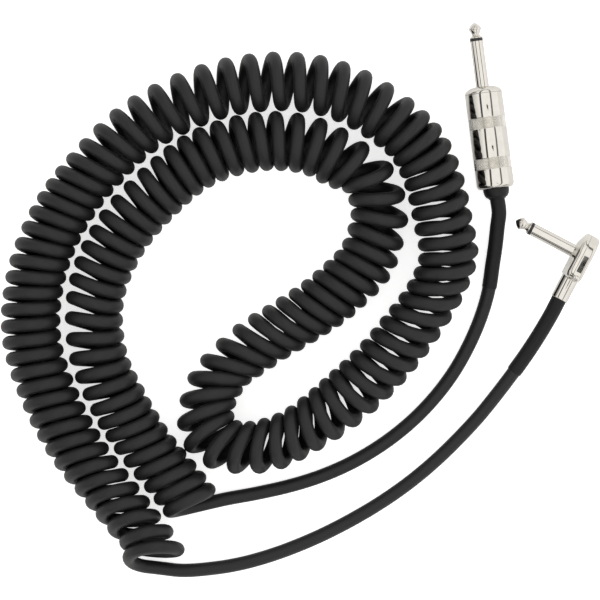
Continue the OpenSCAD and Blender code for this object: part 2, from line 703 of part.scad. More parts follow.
module angle_base()
    color([0.80, 0.79, 0.76])
        lay_angle()
            difference() {
                union() {
                    difference() {
                        intersection() {
                            head_body();
                            half_space(shaft_len - 1, shaft_len + seam_at);
                        }
                        head_room();
                    }
                    along_cord(ferrule_r, face_end, ferrule_reach);
                    screw_post(0);
                }
                along_cord(ferrule_bore_r, face_end - 1, ferrule_reach + 1);
                rod(root_r + seat_gap, shaft_len - 1, floor_at + 1);
                screw_hole(screw_d / 2 + seat_gap);
            }

module angle_cover()
    color([0.80, 0.79, 0.76])
        lay_angle()
            difference() {
                intersection() {
                    head_body();
                    half_space(shaft_len + seam_at, head_back + 1);
                }
                head_room();
                screw_post(seat_gap);
                along_cord(ferrule_r + seat_gap, face_end - seat_gap, ferrule_reach);
                screw_hole(screw_d / 2 + running_gap);
                at_screw()
                    rod(screw_head_d / 2 + running_gap, 0, screw_head_h);
            }

recess_len = 1.6;       // cross recess in the screw's head
recess_w = 0.4;

module angle_cover_screw() {
    head_round = screw_head_h * 0.6;
    rim = screw_head_h - head_round;
    color([0.80, 0.79, 0.76])
        lay_angle()
            at_screw()
                difference() {
                    turned(concat(
                        [[0, -screw_len], [screw_d / 2, -screw_len], [screw_d / 2, 0],
                         [screw_head_d / 2, 0], [screw_head_d / 2, rim]],
                        arc([screw_head_d / 2 - head_round, rim], head_round, 0, 90),
                        [[0, screw_head_h]]));
                    for (turn = [0, 90])
                        rotate([0, 0, turn])
                            translate([-recess_len / 2, -recess_w / 2, rim])
                                cube([recess_len, recess_w, screw_head_h]);
                }
}

module angle_rear_washer()
    color([0.55, 0.33, 0.18])
        lay_angle()
            rear_washer(shaft_r + washer_rim, angle_washer_at, angle_lug_at);

// Flat lug, whose tongue reaches towards the cord
module angle_tip_lug()
    color([0.83, 0.80, 0.72])
        lay_angle() {
            tube(lug_eye_d / 2, rod_r + seat_gap, angle_lug_at, angle_lug_end);
            translate([-angle_lug_reach, -lug_w / 2, angle_lug_at])
                cube([angle_lug_reach - rod_r - wire_step, lug_w, lug_t]);
        }

// Clamp held under the barrel's flange, with a strip under the cord and crimped tabs
module angle_cable_clamp()
    color([0.83, 0.80, 0.72])
        lay_angle() {
            tube(shaft_r + clamp_rim, root_r + seat_gap, floor_at, flange_at);
            translate([-clamp_end, -clamp_w / 2, floor_at])
                cube([clamp_end - shaft_r - clamp_rim / 2, clamp_w, angle_clamp_t]);
            translate([-angle_tab_reach, 0, cord_at])
                rotate([0, -90, 0])
                    rotate([0, 0, -90])
                        crimped_tabs(angle_clamp_t, angle_tab_w);
        }

module angle_sleeve()
    color([0.14, 0.14, 0.15])
        sleeve_tube(angle_points, angle_sleeve_from, angle_sleeve_to,
                    angle_sleeve_r, cord_seat_r, tail_sides);

angle_core_end = [-angle_lug_reach - lug_t, 0, cord_at + core_rise];

module angle_shield_pigtail()
    color([0.72, 0.42, 0.22])
        lay_angle()
            wire([-angle_jacket_reach + wire_step, 1, cord_at + pigtail_low + wire_step],
                 [-shaft_r - flange_rim - pigtail_d / 2, 1, flange_at + strip_step + pigtail_d / 2],
                 pigtail_d / 2);

module angle_core_insulation()
    color([0.90, 0.90, 0.88])
        lay_angle()
            wire([-angle_jacket_reach, 0, cord_at + core_rise], angle_core_end, core_d / 2);

module angle_core_wire()
    color([0.72, 0.42, 0.22])
        lay_angle()
            wire(angle_core_end + [wire_step, 0, 0],
                 [-lug_eye_d / 2 - lug_t, 0, angle_lug_end + wire_d / 2], wire_d / 2);

// ---- Cord ----

module straight_tail()
    color([0.13, 0.13, 0.14])
        cord_tube(straight_points, [for (p = straight_points) up], cord_r, tail_sides);

module curly_cord()
    color([0.13, 0.13, 0.14])
        cord_tube(coil_points, coil_lifts, cord_r, curl_sides);

module angle_tail()
    color([0.13, 0.13, 0.14])
        cord_tube(angle_points, [for (p = angle_points) up], cord_r, tail_sides);

// ---- Nodes ----

straight_tip();
straight_tip_insulator();
straight_core_tube();
straight_barrel();
straight_rear_washer();
straight_tip_lug();
straight_cable_clamp();
straight_shell();
straight_liner();
straight_strain_relief();
straight_sleeve();
straight_shield_pigtail();
straight_core_insulation();
straight_core_wire();
angle_tip();
angle_tip_insulator();
angle_core_tube();
angle_barrel();
angle_base();
angle_cover();
angle_cover_screw();
angle_rear_washer();
angle_tip_lug();
angle_cable_clamp();
angle_sleeve();
angle_shield_pigtail();
angle_core_insulation();
angle_core_wire();
straight_tail();
curly_cord();
angle_tail();
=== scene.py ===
"""Looks of a curly instrument cord with a straight and a right-angle 6.35 mm jack plug.

Every size is in millimetres until a mesh is made, and every mesh is in metres in the CAD frame.
A plug's own axes are: z from its nose to its rear, y up, x to the side.
"""

import logging
import math
from dataclasses import dataclass, field
from enum import Enum
from functools import partial
from typing import Callable, Iterable, Sequence

import bmesh
import bpy
import numpy as np
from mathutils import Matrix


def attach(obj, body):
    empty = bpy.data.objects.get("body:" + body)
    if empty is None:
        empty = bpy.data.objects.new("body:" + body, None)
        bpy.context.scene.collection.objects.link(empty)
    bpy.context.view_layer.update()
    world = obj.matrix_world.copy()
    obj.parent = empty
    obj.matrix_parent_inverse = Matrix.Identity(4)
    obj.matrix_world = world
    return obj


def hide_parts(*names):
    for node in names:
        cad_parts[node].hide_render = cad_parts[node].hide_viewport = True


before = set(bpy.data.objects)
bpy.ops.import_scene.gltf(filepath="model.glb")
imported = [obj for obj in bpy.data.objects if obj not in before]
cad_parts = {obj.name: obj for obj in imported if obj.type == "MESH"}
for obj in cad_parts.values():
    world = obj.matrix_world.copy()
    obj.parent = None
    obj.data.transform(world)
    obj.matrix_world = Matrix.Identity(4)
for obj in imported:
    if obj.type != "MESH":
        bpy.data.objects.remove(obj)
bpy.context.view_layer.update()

MM = 0.001
UP = np.array([0.0, 0.0, 1.0])
TURNED_UV = "turned"
CORD_UV = "along"
Point = tuple[float, float, float]
Outline = list[tuple[float, float]]
log = logging.getLogger("cable")


# ---------------------------------------------------------------------------------------------
# Small helpers
# ---------------------------------------------------------------------------------------------


class Body(Enum):
    """The rigid bodies that pieces ride on."""

    CABLE = "cable"
    STRAIN_RELIEF = "strain_relief"
    SHELL = "shell"


def linear(hex_colour: str) -> tuple[float, float, float, float]:
    """Turn an sRGB hex colour into Blender's linear colour.

    Args:
        hex_colour: Six hex digits, such as "c8beae".

    Returns:
        Red, green, blue and alpha.
    """
    channels = [int(hex_colour[i : i + 2], 16) / 255 for i in (0, 2, 4)]
    curve = [c / 12.92 if c <= 0.04045 else ((c + 0.055) / 1.055) ** 2.4 for c in channels]
    return (*curve, 1.0)


def unit(vector: np.ndarray) -> np.ndarray:
    """Scale a vector, or each row of vectors, to length one."""
    return vector / np.linalg.norm(vector, axis=-1, keepdims=True)


def arc(
    centre: tuple[float, float], radius: float, start: float, end: float, steps: int
) -> Outline:
    """List points on an arc.

    Args:
        centre: Middle of the arc.
        radius: Radius of the arc.
        start: First angle in degrees.
        end: Last angle in degrees.
        steps: Number of steps between them.

    Returns:
        Points from the first angle to the last.
    """
    angles = np.radians(np.linspace(start, end, steps + 1))
    return [(centre[0] + radius * math.cos(a), centre[1] + radius * math.sin(a)) for a in angles]


def add_node(
    tree: bpy.types.NodeTree,
    kind: str,
    inputs: dict[str | int, object] | None = None,
    **settings: object,
) -> bpy.types.Node:
    """Add one node, set it and link its inputs.

    Args:
        tree: Node tree that gets the node.
        kind: Blender's name of the node's type.
        inputs: A value, or another node's socket, for each input by name or number.
        settings: Attributes of the node.

    Returns:
        The new node.
    """
    node = tree.nodes.new(kind)
    for name, value in settings.items():
        setattr(node, name, value)
    for name, value in (inputs or {}).items():
        if isinstance(value, bpy.types.NodeSocket):
            tree.links.new(value, node.inputs[name])
        else:
            node.inputs[name].default_value = value
    return node


def add_maths(tree: bpy.types.NodeTree, operation: str, *values: object) -> bpy.types.NodeSocket:
    """Add one calculation to a node tree and return its result."""
    inputs = dict(enumerate(values))
    return add_node(tree, "ShaderNodeMath", inputs, operation=operation).outputs[0]


def empty_tree(owner: bpy.types.Material | bpy.types.World) -> bpy.types.NodeTree:
    """Turn on the nodes of a material or a world and return its emptied node tree."""
    owner.use_nodes = True
    owner.node_tree.nodes.clear()
    return owner.node_tree


def make_object(name: str, mesh: bpy.types.Mesh) -> bpy.types.Object:
    """Link a mesh into the scene as an object at the origin."""
    made = bpy.data.objects.new(name, mesh)
    bpy.context.scene.collection.objects.link(made)
    return made


def shade(mesh: bpy.types.Mesh, sharp_angle: float = 35.0) -> None:
    """Shade a mesh smooth, apart from the edges that are sharper than an angle in degrees."""
    mesh.shade_smooth()
    mesh.set_sharp_from_angle(angle=math.radians(sharp_angle))


def dress(
    piece: bpy.types.Object,
    finish: "Finish",
    body: Body,
    replaces: Iterable[str] = (),
) -> bpy.types.Object:
    """Give a new piece its material, its body and the nodes that it stands for.

    Args:
        piece: The new piece.
        finish: Its finish.
        body: The body that it rides on.
        replaces: CAD nodes that it stands for.

    Returns:
        The same piece.
    """
    if not piece.data.materials:
        piece.data.materials.append(finish.material())
    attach(piece, body.value)
    nodes = list(replaces)
    if nodes:
        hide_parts(*nodes)
    log.info("%s: %d faces, rides on %s", piece.name, len(piece.data.polygons), body.value)
    return piece


# ---------------------------------------------------------------------------------------------
# Finishes
# ---------------------------------------------------------------------------------------------


@dataclass(frozen=True)
class Finish:
    """A surface finish, made once as a material.

    Args:
        name: Name of the material.
        slot: Material slot of the record; not used.
        colour: sRGB hex colour.
        roughness: Roughness of the surface.
    """

    name: str
    slot: str
    colour: str
    roughness: float

    def material(self) -> bpy.types.Material:
        """Return the material, which is built on the first call."""
        known = bpy.data.materials.get(self.name)
        if known:
            return known
        material = bpy.data.materials.new(self.name)
        tree = empty_tree(material)
        shader = add_node(tree, "ShaderNodeBsdfPrincipled", {"Roughness": self.roughness})
        shader.inputs["Base Color"].default_value = linear(self.colour)
        add_node(tree, "ShaderNodeOutputMaterial", {"Surface": shader.outputs["BSDF"]})
        self.detail(tree, shader)
        return material

    def detail(self, tree: bpy.types.NodeTree, shader: bpy.types.Node) -> None:
        """Add the finish's own nodes to the shader."""
        raise NotImplementedError

    def noise(
        self, tree: bpy.types.NodeTree, place: bpy.types.NodeSocket, size: float, **inputs: float
    ) -> bpy.types.NodeSocket:
        """Add a noise whose spots have a real size.

        Args:
            tree: Node tree.
            place: Coordinates in metres.
            size: Size of a spot in millimetres.
            inputs: Further inputs of the noise.

        Returns:
            The noise, from 0 to 1.
        """
        values = {"Vector": place, "Scale": 1 / (size * MM), "Detail": 3.0}
        values.update({name.capitalize(): value for name, value in inputs.items()})
        return add_node(tree, "ShaderNodeTexNoise", values).outputs["Fac"]

    def spread(
        self, tree: bpy.types.NodeTree, value: bpy.types.NodeSocket, low: float, high: float
    ) -> bpy.types.NodeSocket:
        """Spread a noise's usual range, 0.3 to 0.7, from a low to a high value."""
        inputs = {"Value": value, "From Min": 0.3, "From Max": 0.7, "To Min": low, "To Max": high}
        return add_node(tree, "ShaderNodeMapRange", inputs).outputs["Result"]

    def tint(
        self, tree: bpy.types.NodeTree, amount: bpy.types.NodeSocket, first: str, second: str
    ) -> bpy.types.NodeSocket:
        """Mix two hex colours by an amount."""
        mix = add_node(tree, "ShaderNodeMix", data_type="RGBA")
        tree.links.new(amount, mix.inputs["Factor"])
        mix.inputs[6].default_value = linear(first)
        mix.inputs[7].default_value = linear(second)
        return mix.outputs[2]

    def wear(
        self,
        tree: bpy.types.NodeTree,
        shader: bpy.types.Node,
        patches: bpy.types.NodeSocket,
        roughness: tuple[float, float],
        second: str,
    ) -> None:
        """Vary the roughness and the colour from patch to patch.

        Args:
            tree: Node tree.
            shader: The finish's shader.
            patches: The patches, from 0 to 1.
            roughness: Roughness at both ends of that range.
            second: Hex colour at the upper end.
        """
        tree.links.new(self.spread(tree, patches, *roughness), shader.inputs["Roughness"])
        colour = self.tint(tree, patches, self.colour, second)
        tree.links.new(colour, shader.inputs["Base Color"])

    def raise_grain(
        self,
        tree: bpy.types.NodeTree,
        shader: bpy.types.Node,
        height: bpy.types.NodeSocket,
        depth: float,
        strength: float,
    ) -> None:
        """Raise a grain out of the surface.

        Args:
            tree: Node tree.
            shader: The finish's shader.
            height: The grain, from 0 to 1.
            depth: Depth of the grain in millimetres.
            strength: How strongly it shows.
        """
        inputs = {"Height": height, "Distance": depth * MM, "Strength": strength}
        bump = add_node(tree, "ShaderNodeBump", inputs)
        tree.links.new(bump.outputs["Normal"], shader.inputs["Normal"])


@dataclass(frozen=True)
class TurnedNickel(Finish):
    """Bright nickel plate on brass that a lathe turned.

    The plate is almost a mirror. The lathe leaves faint rings round the piece, and handling
    leaves soft smears that dull the mirror in patches.

    Args:
        dull_colour: Colour where the plate is smeared.
        mark: Spacing of the lathe's rings.
        smear: Size of a smear.
        depth: Depth of the rings.
    """

    dull_colour: str = "cfcbc4"
    mark: float = 0.12
    smear: float = 5.0
    depth: float = 0.0006

    def detail(self, tree: bpy.types.NodeTree, shader: bpy.types.Node) -> None:
        """Add rings along the UV map's second direction, and smears."""
        shader.inputs["Metallic"].default_value = 1.0
        uv = add_node(tree, "ShaderNodeUVMap", uv_map=TURNED_UV).outputs["UV"]
        stretch = (0.004, 1.0, 1.0)
        rings = add_node(tree, "ShaderNodeMapping", {"Vector": uv, "Scale": stretch})
        marks = self.noise(tree, rings.outputs["Vector"], self.mark, detail=2.0)
        smears = self.noise(tree, uv, self.smear, roughness=0.6)
        roughness = (self.roughness * 0.7, self.roughness * 1.7)
        self.wear(tree, shader, smears, roughness, self.dull_colour)
        self.raise_grain(tree, shader, marks, self.depth, strength=0.6)


@dataclass(frozen=True)
class PressedMetal(Finish):
    """Plated metal that was pressed, cast or drawn, so it has no lathe rings.

    The surface has the long soft waves of polishing and patches of handling smear.

    Args:
        dull_colour: Colour where the plate is smeared.
        wave: Length of the polishing waves.
        wave_depth: Depth of the waves.
        smear: Size of a smear.
    """

    dull_colour: str = "cfcbc4"
    wave: float = 2.4
    wave_depth: float = 0.006
    smear: float = 4.0

    def detail(self, tree: bpy.types.NodeTree, shader: bpy.types.Node) -> None:
        """Add waves and smears on object coordinates."""
        shader.inputs["Metallic"].default_value = 1.0
        place = add_node(tree, "ShaderNodeTexCoord").outputs["Object"]
        smears = self.noise(tree, place, self.smear, roughness=0.6)
        roughness = (self.roughness * 0.7, self.roughness * 1.6)
        self.wear(tree, shader, smears, roughness, self.dull_colour)
        waves = self.noise(tree, place, self.wave, detail=1.0)
        self.raise_grain(tree, shader, waves, self.wave_depth, strength=0.5)


@dataclass(frozen=True)
class Extruded(Finish):
    """Soft plastic or rubber that was extruded or shrunk along its length.

    Its skin is satin, with fine drawn lines along it, a fine grain and slow changes of sheen.

    Args:
        second_colour: Colour of its lighter patches.
        line: Spacing of the drawn lines round the piece.
        grain: Size of the grain.
        depth: Depth of the grain.
        shine: Strength of its sheen.
        patch: Size of a patch.
        swing: How far the roughness swings to either side.
    """

    second_colour: str = "1e1e1f"
    line: float = 0.5
    grain: float = 0.22
    depth: float = 0.012
    shine: float = 0.34
    patch: float = 9.0
    swing: float = 0.05

    def detail(self, tree: bpy.types.NodeTree, shader: bpy.types.Node) -> None:
        """Add drawn lines, grain and patches on the piece's own UV map."""
        shader.inputs["Specular IOR Level"].default_value = self.shine
        uv = add_node(tree, "ShaderNodeUVMap", uv_map=CORD_UV).outputs["UV"]
        place = add_node(tree, "ShaderNodeTexCoord").outputs["Object"]
        stretch = (1.0, 0.03, 1.0)
        drawn = add_node(tree, "ShaderNodeMapping", {"Vector": uv, "Scale": stretch})
        lines = self.noise(tree, drawn.outputs["Vector"], self.line, detail=2.0)
        grain = self.noise(tree, place, self.grain, detail=2.0)
        patches = self.noise(tree, place, self.patch, roughness=0.6)
        both = add_maths(tree, "ADD", lines, grain)
        roughness = (self.roughness - self.swing, self.roughness + self.swing)
        self.wear(tree, shader, patches, roughness, self.second_colour)
        self.raise_grain(tree, shader, both, self.depth, strength=0.35)


@dataclass(frozen=True)
class Moulded(Finish):
    """Plastic, rubber or fibre with a fine moulded or cut grain.

    Args:
        second_colour: Colour of its patches.
        grain: Size of the grain.
        depth: Depth of the grain.
        shine: Strength of its sheen.
        patch: Size of a patch.
        swing: How far the roughness swings to either side.
    """

    second_colour: str = "1a1a1b"
    grain: float = 0.3
    depth: float = 0.02
    shine: float = 0.5
    patch: float = 3.0
    swing: float = 0.06

    def detail(self, tree: bpy.types.NodeTree, shader: bpy.types.Node) -> None:
        """Add grain and patches on object coordinates."""
        shader.inputs["Specular IOR Level"].default_value = self.shine
        place = add_node(tree, "ShaderNodeTexCoord").outputs["Object"]
        patches = self.noise(tree, place, self.patch, roughness=0.6)
        grain = self.noise(tree, place, self.grain)
        roughness = (self.roughness - self.swing, self.roughness + self.swing)
        self.wear(tree, shader, patches, roughness, self.second_colour)
        self.raise_grain(tree, shader, grain, self.depth, strength=0.5)


NICKEL = TurnedNickel("bright_nickel_turned", "bright_nickel", "dedbd5", 0.06)
TIP_NICKEL = TurnedNickel("tip_nickel_turned", "tip_nickel", "dcd8d2", 0.05)
PRESSED_NICKEL = PressedMetal("bright_nickel_pressed", "bright_nickel", "dcd9d2", 0.07)
KNURLED_NICKEL = PressedMetal("nickel_knurled", "bright_nickel", "f2f0ea", 0.2)
SCREW_NICKEL = PressedMetal("screw_nickel_plated", "screw_nickel", "e8e6e2", 0.12)
TINNED_BRASS = PressedMetal("tinned_brass_strip", "tinned_brass", "c9c2b0", 0.3, "b4a582")
COPPER = PressedMetal("copper_strands", "bare_copper", "c98a62", 0.3, "a4623e", wave=0.25)
RING_ACETAL = Moulded(
    "acetal_moulded_black", "ring_plastic", "161617", 0.3, grain=0.15, depth=0.005
)
NYLON = Moulded("nylon_tube_natural", "tube_plastic", "e6e2d6", 0.45, "dcd6c6")
FIBRE = Moulded("vulcanised_fibre_cut", "fibre_washer", "8c5a3c", 0.7, "7a4a30", 0.25, 0.03)
LINER = Moulded("polypropylene_liner", "liner_plastic", "d4d6d2", 0.4, "c8cac6")
RELIEF_RUBBER = Moulded(
    "rubber_moulded_black", "relief_rubber", "101011", 0.45, "161617", 0.18, 0.012, 0.3
)
CORE_PLASTIC = Moulded("core_insulation_white", "core_insulation", "e8e8e4", 0.4, "deded8")
JACKET = Extruded("pvc_jacket_satin", "cord_jacket", "18181a", 0.48)
SHRINK = Extruded(
    "polyolefin_shrunk", "shrink_sleeve", "111112", 0.5, "171718", 0.9, 0.3, shine=0.25
)

CAD_FINISHES: dict[str, Finish] = {
    "straight_core_tube": NYLON,
    "straight_rear_washer": FIBRE,
    "straight_tip_lug": TINNED_BRASS,
    "straight_cable_clamp": TINNED_BRASS,
    "straight_liner": LINER,
    "straight_shield_pigtail": COPPER,
    "straight_core_insulation": CORE_PLASTIC,
    "straight_core_wire": COPPER,
    "angle_core_tube": NYLON,
    "angle_cover_screw": SCREW_NICKEL,
    "angle_rear_washer": FIBRE,
    "angle_tip_lug": TINNED_BRASS,
    "angle_cable_clamp": TINNED_BRASS,
    "angle_shield_pigtail": COPPER,
    "angle_core_insulation": CORE_PLASTIC,
    "angle_core_wire": COPPER,
}


# ---------------------------------------------------------------------------------------------
# Studio
# ---------------------------------------------------------------------------------------------


@dataclass
class Studio:
    """Camera, white table and the white tent that lights the cable and that the metal mirrors.

    Args:
        middle: Point of the table that the camera looks down on.
        field_width: Width that the camera sees at the cord's height.
        field_height: Height above the table where that width holds.
        camera_height: Height of the camera.
        sensor: Width of the camera's sensor.
        table: Side of the table.
        table_drop: Gap between the table and the cord.
        table_colour: sRGB hex colour of the table.
        table_glow: How far the table is lifted to white where it is looked at.
        table_mirrored: How far it is lifted in the metal.
        sight: How far the camera sees.
        tent_colour: sRGB hex colour of the tent.
        tent_strength: Strength of the tent overhead.
        tent_horizon: Share of the strength that is left at the horizon, far left and far right.
        tent_full: Height of a direction from which the tent has its whole strength.
        tent_seams: First and last tilt, in degrees from overhead to the right, and darkness of
            each seam of the tent.
        seam_core: Share of a seam's width that has its whole darkness.
        tent_flags: Bearing from +Y towards +X, half width, lower edge and upper edge in degrees,
            and darkness of each dark flag that the metal mirrors. The last is the opening that
            the camera looks through.
        flag_soft: Width of a flag's soft edge in degrees.
    """

    middle: tuple[float, float] = (-113.34, -66.93)
    field_width: float = 294.0
    field_height: float = 10.0
    camera_height: float = 2000.0
    sensor: float = 36.0
    table: float = 4000.0
    table_drop: float = 0.02
    table_colour: str = "ececec"
    table_glow: float = 0.7
    table_mirrored: float = 0.12
    sight: float = 100000.0
    tent_colour: str = "fffefc"
    tent_strength: float = 1.25
    tent_horizon: tuple[float, float] = (0.35, 1.0)
    tent_full: float = 0.85
    tent_seams: tuple[tuple[float, float, float], ...] = ((-34.0, -19.0, 0.95), (32.0, 45.0, 0.85))
    seam_core: float = 0.55
    tent_flags: tuple[tuple[float, float, float, float, float], ...] = (
        (-62.5, 13.0, -6.0, 34.0, 0.6),
        (-152.5, 14.0, 8.0, 26.0, 0.97),
        (112.0, 15.0, 73.0, 83.0, 0.97),
    )
    flag_soft: float = 1.0

    def build(self) -> None:
        """Build the whole studio."""
        self.camera()
        self.floor()
        self.tent()
        bpy.context.scene.view_settings.view_transform = "Standard"

    def camera(self) -> None:
        """Look straight down, with +Y at the top of the picture."""
        data = bpy.data.cameras.new("camera")
        data.sensor_width = self.sensor
        distance = self.camera_height - self.field_height
        data.lens = self.sensor * distance / self.field_width
        data.clip_end = self.sight * MM
        made = bpy.data.objects.new("camera", data)
        made.location = (self.middle[0] * MM, self.middle[1] * MM, self.camera_height * MM)
        bpy.context.scene.collection.objects.link(made)
        bpy.context.scene.camera = made

    def floor(self) -> None:
        """Lay the white table, which keeps the shadow and looks white to camera and mirrors."""
        half = self.table / 2
        x, y = self.middle
        corners = [
            (x + across * half, y + along * half, -self.table_drop)
            for across, along in ((-1, -1), (1, -1), (1, 1), (-1, 1))
        ]
        mesh = mesh_from("table", np.array(corners), [(0, 1, 2, 3)])
        material = bpy.data.materials.new("white_table")
        tree = empty_tree(material)
        matt = add_node(tree, "ShaderNodeBsdfDiffuse")
        matt.inputs["Color"].default_value = linear(self.table_colour)
        path = add_node(tree, "ShaderNodeLightPath").outputs
        strength: object = 0.0
        for ray, lift in (
            ("Is Camera Ray", self.table_glow),
            ("Is Glossy Ray", self.table_mirrored),
            ("Is Transmission Ray", self.table_glow),
        ):
            strength = add_maths(tree, "MULTIPLY_ADD", path[ray], lift, strength)
        glow = add_node(tree, "ShaderNodeEmission", {"Strength": strength})
        both = add_node(tree, "ShaderNodeAddShader", {0: matt.outputs[0], 1: glow.outputs[0]})
        add_node(tree, "ShaderNodeOutputMaterial", {"Surface": both.outputs[0]})
        mesh.materials.append(material)
        make_object("table", mesh)

    def tent(self) -> None:
        """Light from all sides as a white tent does, with its dark seams in the metal alone."""
        world = bpy.data.worlds.new("white_tent")
        tree = empty_tree(world)
        maths = partial(add_maths, tree)

        def between(
            value: bpy.types.NodeSocket, start: tuple[float, float], end: tuple[float, float]
        ) -> bpy.types.NodeSocket:
            """Turn one range of a value into another."""
            inputs = {"Value": value, "From Min": start[0], "From Max": start[1]}
            inputs |= {"To Min": end[0], "To Max": end[1]}
            return add_node(tree, "ShaderNodeMapRange", inputs).outputs["Result"]

        sky = add_node(tree, "ShaderNodeTexCoord").outputs["Generated"]
        part = add_node(tree, "ShaderNodeSeparateXYZ", {"Vector": sky}).outputs
        tilt = maths("ARCTAN2", part["X"], part["Z"])
        horizon = between(part["X"], (-1, 1), self.tent_horizon)
        rise = between(part["Z"], (0, self.tent_full), (0, 1))
        strength = maths("MULTIPLY_ADD", maths("SUBTRACT", 1.0, horizon), rise, horizon)
        strength = maths("MULTIPLY", strength, self.tent_strength)
        mirrored = add_node(tree, "ShaderNodeLightPath").outputs["Is Glossy Ray"]
        for low, high, darkness in self.tent_seams:
            half = math.radians(high - low) / 2
            away = maths("ABSOLUTE", maths("SUBTRACT", tilt, math.radians(low) + half))
            seam = between(away, (half * self.seam_core, half), (darkness, 0))
            seam = maths("MULTIPLY", seam, mirrored)
            strength = maths("MULTIPLY", strength, maths("SUBTRACT", 1.0, seam))
        bearing = maths("ARCTAN2", part["X"], part["Y"])
        height = maths("ARCSINE", part["Z"])
        soft = math.radians(self.flag_soft)
        for *angles, darkness in self.tent_flags:
            aim, half, low, high = (math.radians(angle) for angle in angles)
            aside = maths("ABSOLUTE", maths("SUBTRACT", bearing, aim))
            shade = between(aside, (half - soft, half), (darkness, 0))
            shade = maths("MULTIPLY", shade, between(height, (low, low + soft), (0, 1)))
            shade = maths("MULTIPLY", shade, between(height, (high - soft, high), (1, 0)))
            shade = maths("MULTIPLY", shade, mirrored)
            strength = maths("MULTIPLY", strength, maths("SUBTRACT", 1.0, shade))
        light = add_node(tree, "ShaderNodeBackground", {"Strength": strength})
        light.inputs["Color"].default_value = linear(self.tent_colour)
        add_node(tree, "ShaderNodeOutputWorld", {"Surface": light.outputs[0]})
        bpy.context.scene.world = world


# ---------------------------------------------------------------------------------------------
# Meshes
# ---------------------------------------------------------------------------------------------


@dataclass(frozen=True)
class Lay:
    """Where a plug lies.

    Args:
        nose: The nose, in millimetres.
        heading: Turn to the right, in degrees.
    """

    nose: Point
    heading: float

    def place(self, points: np.ndarray) -> np.ndarray:
        """Turn points from the plug's own axes into the frame, in millimetres."""
        turn = math.radians(self.heading)
        side = np.array([math.cos(turn), math.sin(turn), 0.0])
        rear = np.array([math.sin(turn), -math.cos(turn), 0.0])
        points = np.atleast_2d(points)
        return (
            np.array(self.nose)
            + points[:, :1] * side
            + points[:, 1:2] * UP
            + points[:, 2:3] * rear
        )


def mesh_from(
    name: str,
    points: np.ndarray,
    faces: Sequence[Sequence[int]],
    uvs: Sequence[Sequence[tuple[float, float]]] | None = None,
    uv_name: str = TURNED_UV,
) -> bpy.types.Mesh:
    """Make a mesh from points in millimetres.

    Args:
        name: Name of the mesh.
        points: Points in the frame, in millimetres.
        faces: Corner numbers of each face.
        uvs: For each face, the UV of each corner.
        uv_name: Name of the UV map.

    Returns:
        The mesh, in metres.
    """
    mesh = bpy.data.meshes.new(name)
    mesh.from_pydata((np.asarray(points) * MM).tolist(), [], [list(f) for f in faces])
    if uvs is not None:
        layer = mesh.uv_layers.new(name=uv_name)
        flat = [value for face in uvs for corner in face for value in corner]
        layer.data.foreach_set("uv", flat)
    mesh.update()
    return mesh


def turn_on_lathe(
    name: str,
    outline: Outline,
    lay: Lay,
    segments: int = 128,
    radius_at: Callable[[np.ndarray, float, float], np.ndarray] | None = None,
) -> bpy.types.Object:
    """Spin a closed outline round a plug's axis.

    Args:
        name: Name of the piece.
        outline: Points of radius and distance from the nose, in order, with the first after the
            last, or from axis to axis.
        lay: Where the plug lies.
        segments: Number of steps round the axis.
        radius_at: Gives the radius at the angles round the axis, from an outline point.

    Returns:
        The piece.
    """
    angles = np.radians(-90 + 360 * np.arange(segments) / segments)
    tiny = 1e-6
    points: list[np.ndarray] = []
    rows: list[list[int]] = []
    for radius, station in outline:
        if radius < tiny:
            rows.append([len(points)] * segments)
            points.append(np.array([0.0, 0.0, station]))
            continue
        radii = np.full(segments, radius)
        if radius_at is not None:
            radii = radius_at(angles, radius, station)
        rows.append(list(range(len(points), len(points) + segments)))
        ring = [radii * np.cos(angles), radii * np.sin(angles), np.full(segments, station)]
        points.extend(np.stack(ring, 1))
    steps = np.hypot(*np.diff(np.array(outline + outline[:1]), axis=0).T)
    along = np.concatenate([[0.0], np.cumsum(steps)]) * MM
    widest = max(r for r, _ in outline)
    around = 2 * math.pi * widest * MM * np.arange(segments + 1) / segments
    on_axis = outline[0][0] < tiny and outline[-1][0] < tiny
    faces: list[list[int]] = []
    uvs: list[list[tuple[float, float]]] = []
    for i in range(len(outline) - (1 if on_axis else 0)):
        first, second = rows[i], rows[(i + 1) % len(rows)]
        for k in range(segments):
            n = (k + 1) % segments
            face = [first[k], first[n], second[n], second[k]]
            uv = [
                (around[k], along[i]),
                (around[k + 1], along[i]),
                (around[k + 1], along[i + 1]),
                (around[k], along[i + 1]),
            ]
            kept = [j for j in range(4) if face[j] != face[j - 1]]
            if len(kept) > 2:
                faces.append([face[j] for j in kept])
                uvs.append([uv[j] for j in kept])
    mesh = mesh_from(name, lay.place(np.array(points)), faces, uvs)
    face_outwards(mesh)
    shade(mesh)
    return make_object(name, mesh)


def face_outwards(mesh: bpy.types.Mesh) -> None:
    """Join the points of a closed mesh that coincide and make its faces point outwards."""
    work = bmesh.new()
    work.from_mesh(mesh)
    bmesh.ops.remove_doubles(work, verts=work.verts, dist=1e-8)
    bmesh.ops.recalc_face_normals(work, faces=work.faces)
    work.to_mesh(mesh)
    work.free()


# ---------------------------------------------------------------------------------------------
# Plugs
# ---------------------------------------------------------------------------------------------


